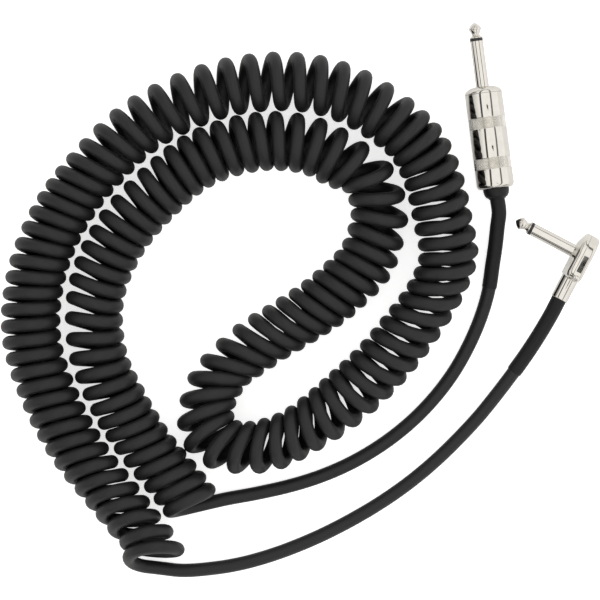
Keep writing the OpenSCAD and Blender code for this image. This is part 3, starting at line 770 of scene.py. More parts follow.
@dataclass(frozen=True)
class Shaft:
    """The tip, ring and shaft that both plugs have.

    Args:
        radius: Radius of the shaft.
        nose_radius: Rounding of the nose.
        nose_bow: Bow of the nose's cone to either side of its slope, in degrees.
        ball_edge: Rounding of the ball's edge.
        neck_at: Distance of the neck from the nose.
        neck_radius: Radius of the neck.
        groove: Radius of the groove that makes the neck.
        tip_edge: Bevel at the tip's rear.
        tip_length: Distance of the ring from the nose.
        ring_length: Length of the ring.
        length: Distance of the shoulder from the nose.
        rod: Radius of the rod inside.
        tube: Outer radius of the tube round the rod.
        gap: Gap round what is pressed on.
        rivet: Radius of the rod's riveted end.
        rivet_length: Length of the rod's riveted end.
        rivet_taper: How far the riveted end narrows.
        lug: Thickness of the lug under the riveted end.
        bevel: Bevel of the barrel's front edge.
        broken: Bevel of the ring's edges.
    """

    radius: float = 3.175
    nose_radius: float = 0.9
    nose_bow: float = 18.0
    ball_edge: float = 0.7
    neck_at: float = 5.9
    neck_radius: float = 1.95
    groove: float = 1.3
    tip_edge: float = 0.35
    tip_length: float = 7.7
    ring_length: float = 1.4
    length: float = 31.6
    rod: float = 1.2
    tube: float = 2.02
    gap: float = 0.02
    rivet: float = 1.8
    rivet_length: float = 0.8
    rivet_taper: float = 0.2
    lug: float = 0.8
    bevel: float = 0.08
    broken: float = 0.06

    @property
    def barrel_front(self) -> float:
        """Distance of the barrel's front edge from the nose."""
        return self.tip_length + self.ring_length

    @property
    def bore(self) -> float:
        """Radius of the barrel's bore."""
        return self.tube + self.gap

    @property
    def barrel_edge(self) -> Outline:
        """Outline of the barrel's front edge, from the bore outwards."""
        return [
            (self.bore, self.barrel_front),
            (self.radius - self.bevel, self.barrel_front),
            (self.radius, self.barrel_front + self.bevel),
        ]

    def tip(self, name: str, node: str, lay: Lay, lug_at: float) -> None:
        """Turn the tip with its rod.

        Args:
            name: Name of the piece.
            node: CAD node that it stands for.
            lay: Where the plug lies.
            lug_at: Distance of the tip's lug from the nose.
        """
        ball_x = self.radius - self.ball_edge
        ball_y = ball_x - self.nose_radius * (math.sqrt(2) - 1) + self.ball_edge * math.sqrt(2)
        rivet_at = lug_at + self.lug
        slope = -45.0
        ball_end = 60.0
        neck_start, neck_end = 225.0, 135.0
        nose = arc((0, self.nose_radius), self.nose_radius, -90, slope - self.nose_bow, 8)
        ball = arc((ball_x, ball_y), self.ball_edge, slope + self.nose_bow, ball_end, 12)
        start, end = np.array(nose[-1]), np.array(ball[0])
        along = end - start
        bow = np.array([along[1], -along[0]]) * math.tan(math.radians(self.nose_bow))
        outline = [(0.0, 0.0), *nose[1:]]
        shares = np.linspace(0, 1, 9)[1:-1]
        outline += [tuple(start + along * t + bow * t * (1 - t)) for t in shares]
        outline += ball
        neck = (self.neck_radius + self.groove, self.neck_at)
        outline += arc(neck, self.groove, neck_start, neck_end, 14)
        outline += [
            (self.radius - self.tip_edge, self.tip_length - 2 * self.tip_edge),
            (self.radius, self.tip_length - self.tip_edge),
            (self.radius, self.tip_length),
            (self.rod, self.tip_length),
            (self.rod, rivet_at),
            (self.rivet, rivet_at),
            (self.rivet - self.rivet_taper, rivet_at + self.rivet_length),
            (0.0, rivet_at + self.rivet_length),
        ]
        dress(turn_on_lathe(name, outline, lay), TIP_NICKEL, Body.CABLE, [node])

    def ring(self, name: str, node: str, lay: Lay) -> None:
        """Turn the insulating ring, whose outer edges are slightly broken."""
        inner = self.rod + self.gap
        outline = [
            (inner, self.tip_length),
            (self.radius - self.broken, self.tip_length),
            (self.radius, self.tip_length + self.broken),
            (self.radius, self.barrel_front - self.broken),
            (self.radius - self.broken, self.barrel_front),
            (inner, self.barrel_front),
        ]
        dress(turn_on_lathe(name, outline, lay), RING_ACETAL, Body.CABLE, [node])


@dataclass(frozen=True)
class StraightPlug:
    """The straight plug: barrel with its thread, knurled shell and rubber strain relief.

    Args:
        lay: Where it lies.
        shaft: Its tip and shaft.
        shell: Radius of the shell.
        collar_end: Station of the collar's rear, where its dome from the shaft ends.
        thread: Radius of the thread.
        pitch: Pitch of the thread.
        thread_depth: Depth of the thread.
        thread_end: Station of the thread's end.
        spigot: Radius of the spigot.
        spigot_end: Station of the spigot's end.
        washer_end: Station of the rear washer's end.
        shell_end: Station of the shell's rear.
        shell_bore: Radius of the shell's bore.
        shell_rear_inside: Station of the shell's rear wall inside.
        rear_hole: Radius of the shell's rear hole.
        rear_round: Rounding of the shell's rear edge.
        bands: Stations of the knurled bands.
        band_length: Width of a band.
        band_depth: Depth of a band.
        knurl_pitch: Distance between two teeth round the band.
        play: Running gap.
        relief: Radius of the rubber.
        relief_end: Radius of the rubber's rear end.
        relief_flange: Radius of the rubber's flange.
        relief_flange_at: Station of that flange.
        relief_bore: Radius of the rubber's bore.
        dome_end: Station of the dome's end.
    """

    lay: Lay = Lay((-28.0, 69.0, 9.2), 7.5)
    shaft: Shaft = Shaft()
    shell: float = 9.2
    collar_end: float = 35.0
    thread: float = 7.0
    pitch: float = 1.0
    thread_depth: float = 0.55
    thread_end: float = 41.0
    spigot: float = 3.0
    spigot_end: float = 41.8
    washer_end: float = 43.0
    shell_end: float = 81.9
    shell_bore: float = 7.2
    shell_rear_inside: float = 78.9
    rear_hole: float = 6.45
    rear_round: float = 2.2
    bands: tuple[float, float] = (46.8, 66.8)
    band_length: float = 5.6
    band_depth: float = 0.25
    knurl_pitch: float = 0.62
    play: float = 0.05
    relief: float = 6.4
    relief_end: float = 4.3
    relief_flange: float = 7.05
    relief_flange_at: float = 77.4
    relief_bore: float = 3.95
    dome_end: float = 87.1

    def build(self) -> None:
        """Build and dress every piece of the plug."""
        self.shaft.tip("straight_tip_turned", "straight_tip", self.lay, self.washer_end)
        self.shaft.ring("straight_ring", "straight_tip_insulator", self.lay)
        self.barrel()
        self.screw_thread()
        self.shell_tube()
        knurl = KnurlTree().build()
        for name, at in zip(("front", "rear"), self.bands):
            self.knurl(f"shell_knurl_{name}", at, knurl)
        self.strain_relief()

    def barrel(self) -> None:
        """Turn the barrel, with a plain core under its thread."""
        bevel = 0.1
        under_thread = 0.1
        core = self.thread - self.thread_depth - under_thread
        shaft = self.shaft
        rise = self.shell - shaft.radius
        depth = self.collar_end - shaft.length
        outline = shaft.barrel_edge
        outline += [
            (shaft.radius + rise * math.sin(a), self.collar_end - depth * math.cos(a))
            for a in np.linspace(0, math.pi / 2, 21)[:-1]
        ]
        outline += [
            (self.shell, self.collar_end - bevel),
            (self.shell - bevel, self.collar_end),
            (core, self.collar_end),
            (core, self.thread_end),
            (self.spigot, self.thread_end),
            (self.spigot, self.spigot_end),
            (shaft.bore, self.spigot_end),
        ]
        piece = turn_on_lathe("straight_barrel_turned", outline, self.lay)
        dress(piece, NICKEL, Body.CABLE, ["straight_barrel"])

    def screw_thread(self) -> None:
        """Cut the barrel's real right-handed thread, which fades out at both ends."""
        per_turn = 10
        sunk = 0.3
        steepness = 4.0
        floor = 0.25
        run_out = 0.6 * self.pitch
        count = round((self.thread_end - self.collar_end) / self.pitch * per_turn)
        stations = np.linspace(self.collar_end, self.thread_end, count + 1)
        inner = self.thread - self.thread_depth - sunk
        outline = [(inner, stations[-1]), (inner, stations[0])]
        outline += [(self.thread, float(s)) for s in stations]

        def radius_at(angles: np.ndarray, radius: float, station: float) -> np.ndarray:
            """Give the radius of the thread round the axis at one station."""
            if radius < self.thread:
                return np.full(len(angles), radius)
            turn = ((station - self.collar_end) / self.pitch + angles / (2 * math.pi)) % 1.0
            groove = np.clip(1 + floor - np.abs(turn - 0.5) * steepness, 0, 1)
            ends = min(station - self.collar_end, self.thread_end - station) / run_out
            return radius - self.thread_depth * groove * min(1.0, max(0.0, ends))

        piece = turn_on_lathe("straight_barrel_thread", outline, self.lay, 96, radius_at)
        dress(piece, NICKEL, Body.CABLE, ["straight_barrel"])

    def shell_tube(self) -> None:
        """Turn the shell, with its two bands let in and its rounded rear edge."""
        edge = self.band_depth
        bevel, rim = 0.2, 0.3
        burr, burr_depth = 0.05, 0.02
        hole, hole_bevel = self.rear_hole, 0.15
        bore = self.thread + self.play
        round_off = self.rear_round
        outline = [(bore, self.collar_end + bevel), (bore + bevel, self.collar_end)]
        outline += arc((self.shell - rim, self.collar_end + rim), rim, -90, 0, 4)
        for at in self.bands:
            end = at + self.band_length
            outline += [
                (self.shell, at - burr),
                (self.shell - burr_depth, at),
                (self.shell - edge, at + edge),
                (self.shell - edge, end - edge),
                (self.shell - burr_depth, end),
                (self.shell, end + burr),
            ]
        outline += arc((self.shell - round_off, self.shell_end - round_off), round_off, 0, 90, 12)
        outline += [
            (hole + hole_bevel, self.shell_end),
            (hole, self.shell_end - hole_bevel),
            (hole, self.shell_rear_inside),
            (self.shell_bore, self.shell_rear_inside),
            (self.shell_bore, self.thread_end + self.pitch),
            (bore, self.thread_end + self.pitch),
        ]
        piece = turn_on_lathe("shell_turned", outline, self.lay, 160)
        dress(piece, NICKEL, Body.SHELL, ["straight_shell"])

    def knurl(self, name: str, at: float, tree: bpy.types.NodeTree) -> None:
        """Roll the diamond teeth of one band.

        Args:
            name: Name of the piece.
            at: Station of the band's front edge.
            tree: Node tree that makes the teeth.
        """
        tooth = 0.9 * self.band_depth
        floor = self.shell - self.band_depth
        turns = round(2 * math.pi * floor / self.knurl_pitch)
        pitch = 2 * math.pi * floor / turns
        rows = int((self.band_length - 2 * self.band_depth) / (pitch / 2))
        values = {
            "Radius": floor * MM,
            "Teeth Round": turns,
            "Rows": rows,
            "Tooth Pitch": pitch * MM,
            "Tooth Height": tooth * MM,
            "Material": KNURLED_NICKEL.material(),
        }
        mesh = grow(name, tree, values)
        count = len(mesh.vertices)
        flat = np.empty(count * 3)
        mesh.vertices.foreach_get("co", flat)
        points = flat.reshape(-1, 3) / MM
        points[:, 2] += at + self.band_length / 2
        mesh.vertices.foreach_set("co", (self.lay.place(points) * MM).ravel())
        mesh.update()
        piece = make_object(name, mesh)
        dress(piece, KNURLED_NICKEL, Body.SHELL)

    def strain_relief(self) -> None:
        """Turn the rubber strain relief, whose dome stands behind the shell."""
        rise = 0.4
        rim = 0.6
        lip, lip_bevel = 0.3, 0.05
        outline = [
            (self.relief_bore, self.relief_flange_at),
            (self.relief_flange, self.relief_flange_at),
            (self.relief_flange, self.shell_rear_inside - self.play),
            (self.relief, self.shell_rear_inside - self.play),
        ]
        start = self.shell_end + rise
        height = self.dome_end - rim - start
        outline += [
            (
                self.relief_end + (self.relief - self.relief_end) * math.cos(a),
                start + height * math.sin(a),
            )
            for a in np.linspace(0, math.pi / 2, 16)
        ]
        outline += arc((self.relief_end - lip, self.dome_end - lip), lip, 0, 90, 8)[1:]
        outline += [(self.relief_bore, self.dome_end - lip_bevel)]
        piece = turn_on_lathe("strain_relief_dome", outline, self.lay, 96)
        dress(piece, RELIEF_RUBBER, Body.STRAIN_RELIEF, ["straight_strain_relief"])


@dataclass(frozen=True)
class KnurlTree:
    """Geometry nodes that set diamond teeth round a drum, about the z axis.

    Args:
        name: Name of the node tree.
        sunk: How far the teeth are sunk into the drum.
        blunt: Width of a tooth's top, as a share of the pitch.
    """

    name: str = "diamond_knurl"
    sunk: float = 0.02
    blunt: float = 0.06

    def build(self) -> bpy.types.NodeTree:
        """Build the node tree.

        Returns:
            The tree, with inputs for the drum and the teeth.
        """
        tree = bpy.data.node_groups.new(self.name, "GeometryNodeTree")
        for label, kind in (
            ("Radius", "NodeSocketFloat"),
            ("Teeth Round", "NodeSocketInt"),
            ("Rows", "NodeSocketInt"),
            ("Tooth Pitch", "NodeSocketFloat"),
            ("Tooth Height", "NodeSocketFloat"),
            ("Material", "NodeSocketMaterial"),
        ):
            tree.interface.new_socket(label, in_out="INPUT", socket_type=kind)
        tree.interface.new_socket("Geometry", in_out="OUTPUT", socket_type="NodeSocketGeometry")
        given = add_node(tree, "NodeGroupInput").outputs
        maths = partial(add_maths, tree)
        number = add_node(tree, "GeometryNodeInputIndex").outputs[0]
        row = maths("FLOOR", maths("DIVIDE", maths("ADD", number, 0.5), given["Teeth Round"]))
        column = maths("SUBTRACT", number, maths("MULTIPLY", row, given["Teeth Round"]))
        shifted = maths("ADD", column, maths("MULTIPLY", maths("MODULO", row, 2.0), 0.5))
        angle = maths("MULTIPLY", maths("DIVIDE", shifted, given["Teeth Round"]), 2 * math.pi)
        middle = maths("DIVIDE", maths("SUBTRACT", given["Rows"], 1.0), 2.0)
        half_pitch = maths("MULTIPLY", given["Tooth Pitch"], 0.5)
        height = maths("MULTIPLY", maths("SUBTRACT", row, middle), half_pitch)
        reach = maths("SUBTRACT", given["Radius"], self.sunk * MM)
        across, along = maths("COSINE", angle), maths("SINE", angle)
        spot = {
            "X": maths("MULTIPLY", across, reach),
            "Y": maths("MULTIPLY", along, reach),
            "Z": height,
        }
        place = add_node(tree, "ShaderNodeCombineXYZ", spot)
        out = add_node(tree, "ShaderNodeCombineXYZ", {"X": across, "Y": along, "Z": 0.0})
        points = add_node(
            tree,
            "GeometryNodePoints",
            {
                "Count": maths("MULTIPLY", given["Rows"], given["Teeth Round"]),
                "Position": place.outputs[0],
            },
        )
        tooth = add_node(
            tree,
            "GeometryNodeMeshCone",
            {
                "Vertices": 4,
                "Radius Top": maths("MULTIPLY", given["Tooth Pitch"], self.blunt),
                "Radius Bottom": half_pitch,
                "Depth": given["Tooth Height"],
            },
        )
        aim = add_node(
            tree, "FunctionNodeAlignRotationToVector", {"Vector": out.outputs[0]}, axis="Z"
        )
        level = add_node(
            tree,
            "FunctionNodeAlignRotationToVector",
            {"Rotation": aim.outputs[0], "Vector": (0.0, 0.0, 1.0)},
            axis="X",
            pivot_axis="Z",
        )
        spread = add_node(
            tree,
            "GeometryNodeInstanceOnPoints",
            {
                "Points": points.outputs[0],
                "Instance": tooth.outputs["Mesh"],
                "Rotation": level.outputs[0],
            },
        )
        real = add_node(tree, "GeometryNodeRealizeInstances", {"Geometry": spread.outputs[0]})
        dressed = add_node(
            tree,
            "GeometryNodeSetMaterial",
            {"Geometry": real.outputs[0], "Material": given["Material"]},
        )
        add_node(tree, "NodeGroupOutput", {"Geometry": dressed.outputs[0]})
        return tree


def grow(name: str, tree: bpy.types.NodeTree, values: dict[str, object]) -> bpy.types.Mesh:
    """Run a geometry node tree and keep its result as a plain mesh.

    Args:
        name: Name of the mesh.
        tree: Geometry node tree.
        values: Value of each input by its label.

    Returns:
        The mesh.
    """
    seed = make_object(f"{name}_seed", bpy.data.meshes.new(f"{name}_seed"))
    modifier = seed.modifiers.new("grow", "NODES")
    modifier.node_group = tree
    sockets = {s.name: s.identifier for s in tree.interface.items_tree if s.in_out == "INPUT"}
    for label, value in values.items():
        modifier[sockets[label]] = value
    bpy.context.view_layer.update()
    graph = bpy.context.evaluated_depsgraph_get()
    mesh = bpy.data.meshes.new_from_object(seed.evaluated_get(graph))
    mesh.name = name
    seed.modifiers.remove(modifier)
    spare = seed.data
    bpy.data.objects.remove(seed)
    bpy.data.meshes.remove(spare)
    return mesh


@dataclass(frozen=True)
class AnglePlug:
    """The right-angle plug: shaft, flat head in two halves and ferrule.

    Args:
        lay: Where it lies.
        shaft: Its tip and shaft.
        lug_at: Station of the tip's lug.
        thickness: Thickness of the head.
        disc: Radius of the head's round end.
        corner: Radius of its shoulders.
        reach: Distance of its end wall from the shaft's axis.
        seam: Height of the seam in the head.
        set_back: Distance of the front edge behind the flat face.
        front_round: Rounding of the front edge.
        cover_straight: Length over which the cover's wall is straight from the seam.
        cover_draft: Draft of its wall from there in degrees.
        cover_round: Rounding of its back edge.
        face_radius: Radius of the flat face round the shaft.
        face_half: Half width of the flat face under the cord.
        face_end: Distance of its end from the shaft's axis, where the ferrule starts too.
        seam_bevel: Bevel of both halves at the seam.
        soft_angle: Greatest angle in degrees that is shaded smooth.
        support: Distance of the flat walls' first rows of points from their ends.
        ferrule: Radius of the ferrule.
        ferrule_bore: Radius of its bore.
        ferrule_reach: Distance of the ferrule's end from the shaft's axis.
        root: Radius of the barrel's root in the head.
        flange: Radius of the barrel's flange.
        flange_at: Station of that flange.
        flange_end: Station of its rear face.
    """

    lay: Lay = Lay((-7.6, -28.1, 11.0), 62.5)
    shaft: Shaft = Shaft()
    lug_at: float = 34.38
    thickness: float = 9.7
    disc: float = 11.0
    corner: float = 5.0
    reach: float = 13.6
    seam: float = 4.75
    set_back: float = 1.4
    front_round: float = 2.5
    cover_straight: float = 0.75
    cover_draft: float = 4.0
    cover_round: float = 1.9
    face_radius: float = 4.675
    face_half: float = 2.2
    face_end: float = 11.7
    seam_bevel: float = 0.18
    soft_angle: float = 15.0
    support: float = 0.25
    ferrule: float = 4.3
    ferrule_bore: float = 3.79
    ferrule_reach: float = 24.3
    root: float = 2.775
    flange: float = 4.475
    flange_at: float = 32.98
    flange_end: float = 33.78

    def build(self) -> None:
        """Build and dress every piece of the plug."""
        self.shaft.tip("angle_tip_turned", "angle_tip", self.lay, self.lug_at)
        self.shaft.ring("angle_ring", "angle_tip_insulator", self.lay)
        self.barrel()
        self.halves()
        self.ferrule_tube()

    @property
    def cord_at(self) -> float:
        """Distance of the cord's axis from the nose."""
        return self.shaft.length + self.thickness / 2

    def barrel(self) -> None:
        """Turn the barrel, whose root is spread to a flange inside the head."""
        shaft = self.shaft
        outline = [
            *shaft.barrel_edge,
            (shaft.radius, shaft.length),
            (self.root, shaft.length),
            (self.root, self.flange_at),
            (self.flange, self.flange_at),
            (self.flange, self.flange_end),
            (shaft.bore, self.flange_end),
        ]
        piece = turn_on_lathe("angle_barrel_turned", outline, self.lay)
        dress(piece, NICKEL, Body.CABLE, ["angle_barrel"])

    def walk(self) -> tuple[np.ndarray, np.ndarray, np.ndarray]:
        """Walk round the head's outline.

        Returns:
            At each step the middle of the curve, its radius and the direction outwards.
        """
        side = self.disc - self.corner
        back = self.reach - self.corner
        flat = np.linspace(-self.support, self.support - back, 3)
        rows: list[tuple[float, ...]] = []
        for x, y, radius, start, end, steps in (
            (0.0, 0.0, self.disc, -90, 90, 48),
            (-back, side, self.corner, 90, 180, 24),
            (-back, -side, self.corner, 180, 270, 24),
        ):
            angles = np.radians(np.linspace(start, end, steps + 1))
            rows += [(x, y, radius, math.cos(angle), math.sin(angle)) for angle in angles]
            if start < 0:
                rows += [(x, side, self.corner, 0.0, 1.0) for x in flat]
        rows += [(x, -side, self.corner, 0.0, -1.0) for x in flat[::-1]]
        table = np.array(rows)
        return table[:, :2], table[:, 2], table[:, 3:]

    def ring(self, inset: float | np.ndarray, station: float | np.ndarray) -> np.ndarray:
        """Give the head's outline, drawn in by an inset, at a station.

        Args:
            inset: Distance that the outline is drawn in.
            station: Distance from the nose.

        Returns:
            Points round the head in the plug's own axes.
        """
        middle, radius, outwards = self.walk()
        flat = middle + (radius - inset)[:, None] * outwards
        return np.column_stack([flat, np.broadcast_to(station, len(flat))])

    def half(self, name: str, rings: Sequence[np.ndarray], node: str) -> None:
        """Close a stack of outlines into one half of the head.

        Args:
            name: Name of the piece.
            rings: Outlines from the seam to the outside.
            node: CAD node that it stands for.
        """
        count = len(rings[0])
        faces: list[list[int]] = [list(range(count))]
        for i in range(len(rings) - 1):
            for k in range(count):
                n = (k + 1) % count
                near, far = i * count, (i + 1) * count
                faces.append([near + k, near + n, far + n, far + k])
        faces.append([(len(rings) - 1) * count + k for k in range(count)])
        mesh = mesh_from(name, self.lay.place(np.vstack(rings)), faces)
        face_outwards(mesh)
        shade(mesh, self.soft_angle)
        dress(make_object(name, mesh), PRESSED_NICKEL, Body.CABLE, [node])

    def front(self) -> list[np.ndarray]:
        """Round the front edge and run it flat into the face, which is proud of the edge.

        Returns:
            Outlines from the edge's widest place to the face.
        """
        middle, radius, outwards = self.walk()
        corners = np.column_stack(
            [np.full(len(middle), -self.face_end), self.face_half * np.sign(middle[:, 1])]
        )
        on_corner = (corners * outwards).sum(axis=1) > self.face_radius
        face = np.where(on_corner[:, None], corners, self.face_radius * outwards)
        depth = self.set_back + self.front_round
        inwards = ((face - middle) * outwards).sum(axis=1) - radius + self.front_round
        sweep_angle = np.arctan2(depth, inwards) - np.arccos(
            self.front_round / np.hypot(inwards, depth)
        )
        widest = self.shaft.length + depth
        rings = [
            self.ring(
                self.front_round * (1 - np.cos(sweep_angle * part)),
                widest - self.front_round * np.sin(sweep_angle * part),
            )
            for part in np.linspace(0, 1, 9)
        ]
        return rings + [np.column_stack([face, np.full(len(face), self.shaft.length)])]

    def halves(self) -> None:
        """Build the base and the cover, with a bevel on both sides of their seam."""
        seam = self.shaft.length + self.seam
        end = self.shaft.length + self.thickness
        bevel = self.seam_bevel
        seam_face = 0.6
        bend = 0.05
        back_edge = 0.1
        lip = self.ring(seam_face, seam), self.ring(bevel, seam)
        base = [*lip, self.ring(0.0, seam - bevel), *self.front()]
        self.half("angle_base_head", base, "angle_base")
        straight = seam + self.cover_straight
        slope = math.radians(self.cover_draft)
        drawn = end - self.cover_round - straight
        inset = drawn * math.tan(slope)
        wall = [
            (0.0, seam + bevel),
            (0.0, straight - bend),
            (bend * math.tan(slope), straight + bend),
            (inset, straight + drawn),
        ]
        reach = self.cover_round * math.cos(slope)
        back = arc((0, end - self.cover_round), self.cover_round, 0, 90, 14)
        wall += [(inset + self.cover_round - x, z) for x, z in back[1:]]
        wall += [(inset + reach + back_edge, end)]
        cover = [*lip, *(self.ring(inwards, station) for inwards, station in wall)]
        self.half("angle_cover_head", cover, "angle_cover")

    def ferrule_tube(self) -> None:
        """Turn the ferrule that the cord leaves through."""
        edge, bevel = 0.3, 0.05
        outline = [(self.ferrule_bore, self.face_end), (self.ferrule, self.face_end)]
        outline += arc((self.ferrule - edge, self.ferrule_reach - edge), edge, 0, 90, 6)
        outline += [(self.ferrule_bore + bevel, self.ferrule_reach)]
        foot = self.lay.place(np.array([0.0, 0.0, self.cord_at]))[0]
        outwards = Lay(tuple(foot), self.lay.heading - 90)
        piece = turn_on_lathe("angle_ferrule", outline, outwards)
        dress(piece, NICKEL, Body.CABLE, ["angle_base"])


# ---------------------------------------------------------------------------------------------
# Cord
# ---------------------------------------------------------------------------------------------


def slopes_of(values: np.ndarray, steps: np.ndarray) -> np.ndarray:
    """Give the slope of a smooth line at each of its points.

    Args:
        values: A row of values for each point.
        steps: Distance from each point to the next.

    Returns:
        A row of slopes for each point.
    """
    before, after = steps[:-1, None], steps[1:, None]
    rates = np.diff(values, axis=0) / steps[:, None]
    inside = (rates[:-1] * after + rates[1:] * before) / (after + before)
    return np.vstack([rates[:1], inside, rates[-1:]])


def ease(
    share: np.ndarray, start: np.ndarray, end: np.ndarray, leave: np.ndarray, arrive: np.ndarray
) -> np.ndarray:
    """Lead smoothly from one point to the next.

    Args:
        share: Share of the way, from 0 to 1.
        start: Values at the first point.
        end: Values at the second point.
        leave: Slope at the first point, times the distance.
        arrive: Slope at the second point, times the distance.

    Returns:
        A row of values for each share.
    """
    square, cube = share**2, share**3
    return (
        (2 * cube - 3 * square + 1) * start
        + (cube - 2 * square + share) * leave
        + (3 * square - 2 * cube) * end
        + (cube - square) * arrive
    )


@dataclass
class Curls:
    """The curly stretch: a helix whose axis follows a listed course.

    Args:
        radius: Radius of the helix.
        lie: Height of the cord's middle where it touches the table.
        steps: Points in one curl.
        course: Curl, place of its middle, heading of its half turn, and how far its top leans
            forward.
    """

    radius: float = 11.4
    lie: float = 3.35
    steps: int = 32
    course: tuple[tuple[float, ...], ...] = (
        (0.5, -187, -194.7, 2.5, 3.5), (1, -184.3, -190.5, -2, 3.5), (2, -188.4, -183.2, 5, 3.2),
        (3, -194.4, -175.8, 6, 3.3), (5, -205, -162.4, 9, 2.2), (8, -220.1, -143.1, 10, 1.2),
        (12, -235, -115.8, 6, 0.6), (16, -244.5, -86, 0, -0.5), (20, -242.5, -55.7, -10, -0.5),
        (24, -231.5, -27.3, -27, -0.3), (28, -213.5, -2.8, -34, -0.3),
        (32, -186.4, 21.4, -60, -0.3), (36, -146, 37.6, -85, 0), (40, -103, 37.9, -102, 0),
        (42, -83.9, 30.8, -116, -0.1), (44, -67.1, 19.7, -138, 0.2), (46, -55.8, 8.8, -148.7, 1),
        (48, -49, -5.3, -161, 1.5), (51, -43.3, -29.2, -173, 2.1), (53, -40.8, -45, -178, 1.7),
        (55, -45.7, -59.5, -184, 2.4), (58, -59.7, -81, -204, 2), (62, -81.2, -105.9, -222, 2.1),
        (66, -108.5, -127.4, -263, 1.8), (68, -123.5, -135.8, -277, 1.9),
        (70, -142, -138.6, -302, 1.2), (71, -151.3, -137.1, -318, 1.4),
        (72, -158.3, -130.5, -332.8, 0.9), (73, -159.2, -121.7, -345.6, 0.5),
        (74, -156.8, -112.8, -358, 0.1), (75, -152.6, -104.6, -369.6, -0.4),
        (76, -146.4, -98.4, -380.2, -0.4), (77, -139.4, -92.5, -390, -0.4),
        (78, -131.9, -86.9, -396, -1.4), (80, -118, -78.5, -398, -1.7), (84, -94, -61.5, -400, 0),
        (87, -79.1, -44.1, -392, 0), (88, -76.6, -36.1, -390, -0.5), (89, -74.6, -27.1, -379, -0.8),
        (90, -75.8, -17.4, -366, -0.8), (91, -79.8, -8, -347.6, -0.9),
        (92, -88.9, -1.9, -321, -0.5), (94, -105.5, 7.6, -295, 0.1), (96, -123.5, 10.8, -274, 0.2),
        (98, -140.4, 9.4, -261, 0.2), (100, -156.9, 4.4, -251, -0.2),
        (104, -181.9, -13.5, -237, 0.9), (108, -202.8, -38, -215, 0.8),
        (112, -213.6, -67.5, -201, 1.2), (115, -212.1, -93.4, -180, 0.7),
        (118, -202.6, -115.8, -165, 1), (121, -191.2, -134.9, -165, 0.8),
        (125, -172, -158.9, -161, -0.2), (126.5, -165.3, -167.8, -161, -0.5),
    )

    def along(self, turns: np.ndarray) -> np.ndarray:
        """Give place, heading and lean on a smooth line through the course's rows.

        Args:
            turns: Curls along the cord.

        Returns:
            Rows of x, y, heading and lean.
        """
        rows = np.array(self.course, float)
        at, values = rows[:, 0], rows[:, 1:]
        steps = np.diff(at)
        slopes = slopes_of(values, steps)
        i = np.clip(np.searchsorted(at, turns, side="right") - 1, 0, len(at) - 2)
        step = steps[i][:, None]
        share = (turns - at[i])[:, None] / step
        return ease(share, values[i], values[i + 1], step * slopes[i], step * slopes[i + 1])

    def points(self) -> np.ndarray:
        """Give the cord's middle line along the curls, from the first low point to the last."""
        first, last = self.course[0][0], self.course[-1][0]
        turns = np.linspace(first, last, round((last - first) * self.steps) + 1)
        course = self.along(turns)
        phase = 2 * math.pi * turns
        heading = np.radians(course[:, 2])
        reach = self.radius * np.sin(phase)
        lean = course[:, 3] * np.cos(phase)
        return np.column_stack(
            [
                course[:, 0] + reach * np.cos(heading) - lean * np.sin(heading),
                course[:, 1] + reach * np.sin(heading) + lean * np.cos(heading),
                self.radius + self.lie + self.radius * np.cos(phase),
            ]
        )


class Route:
    """A smooth line through given points."""

    def __init__(self, points: Sequence[Sequence[float]], step: float) -> None:
        """Keep the points and sample the line.

        Args:
            points: Points in millimetres.
            step: Greatest distance between two samples.
        """
        self.points = np.array(points, float)
        self.step = step
        self.samples, self.marks = self._sample()

    def _sample(self) -> tuple[np.ndarray, list[int]]:
        """Sample the line.

        Returns:
            The samples, and the number of the sample at each point.
        """
        p = self.points
        chords = np.linalg.norm(np.diff(p, axis=0), axis=1)
        slopes = slopes_of(p, chords)
        samples = [p[:1]]
        marks = [0]
        for i, chord in enumerate(chords):
            count = max(1, math.ceil(chord / self.step))
            share = (np.arange(1, count + 1) / count)[:, None]
            samples.append(ease(share, p[i], p[i + 1], chord * slopes[i], chord * slopes[i + 1]))
            marks.append(marks[-1] + count)
        return np.vstack(samples), marks

    def between(self, first: int, last: int) -> np.ndarray:
        """Give the samples from one point to another."""
        return self.samples[self.marks[first] : self.marks[last] + 1]


def level(vector: np.ndarray) -> np.ndarray:
    """Give the level direction of a vector."""
    return unit(vector * np.array([1.0, 1.0, 0.0]))


def directions(line: np.ndarray) -> np.ndarray:
    """Give the direction of a line at each of its points."""
    steps = np.vstack([line[1:2] - line[:1], line[2:] - line[:-2], line[-1:] - line[-2:-1]])
    return unit(steps)


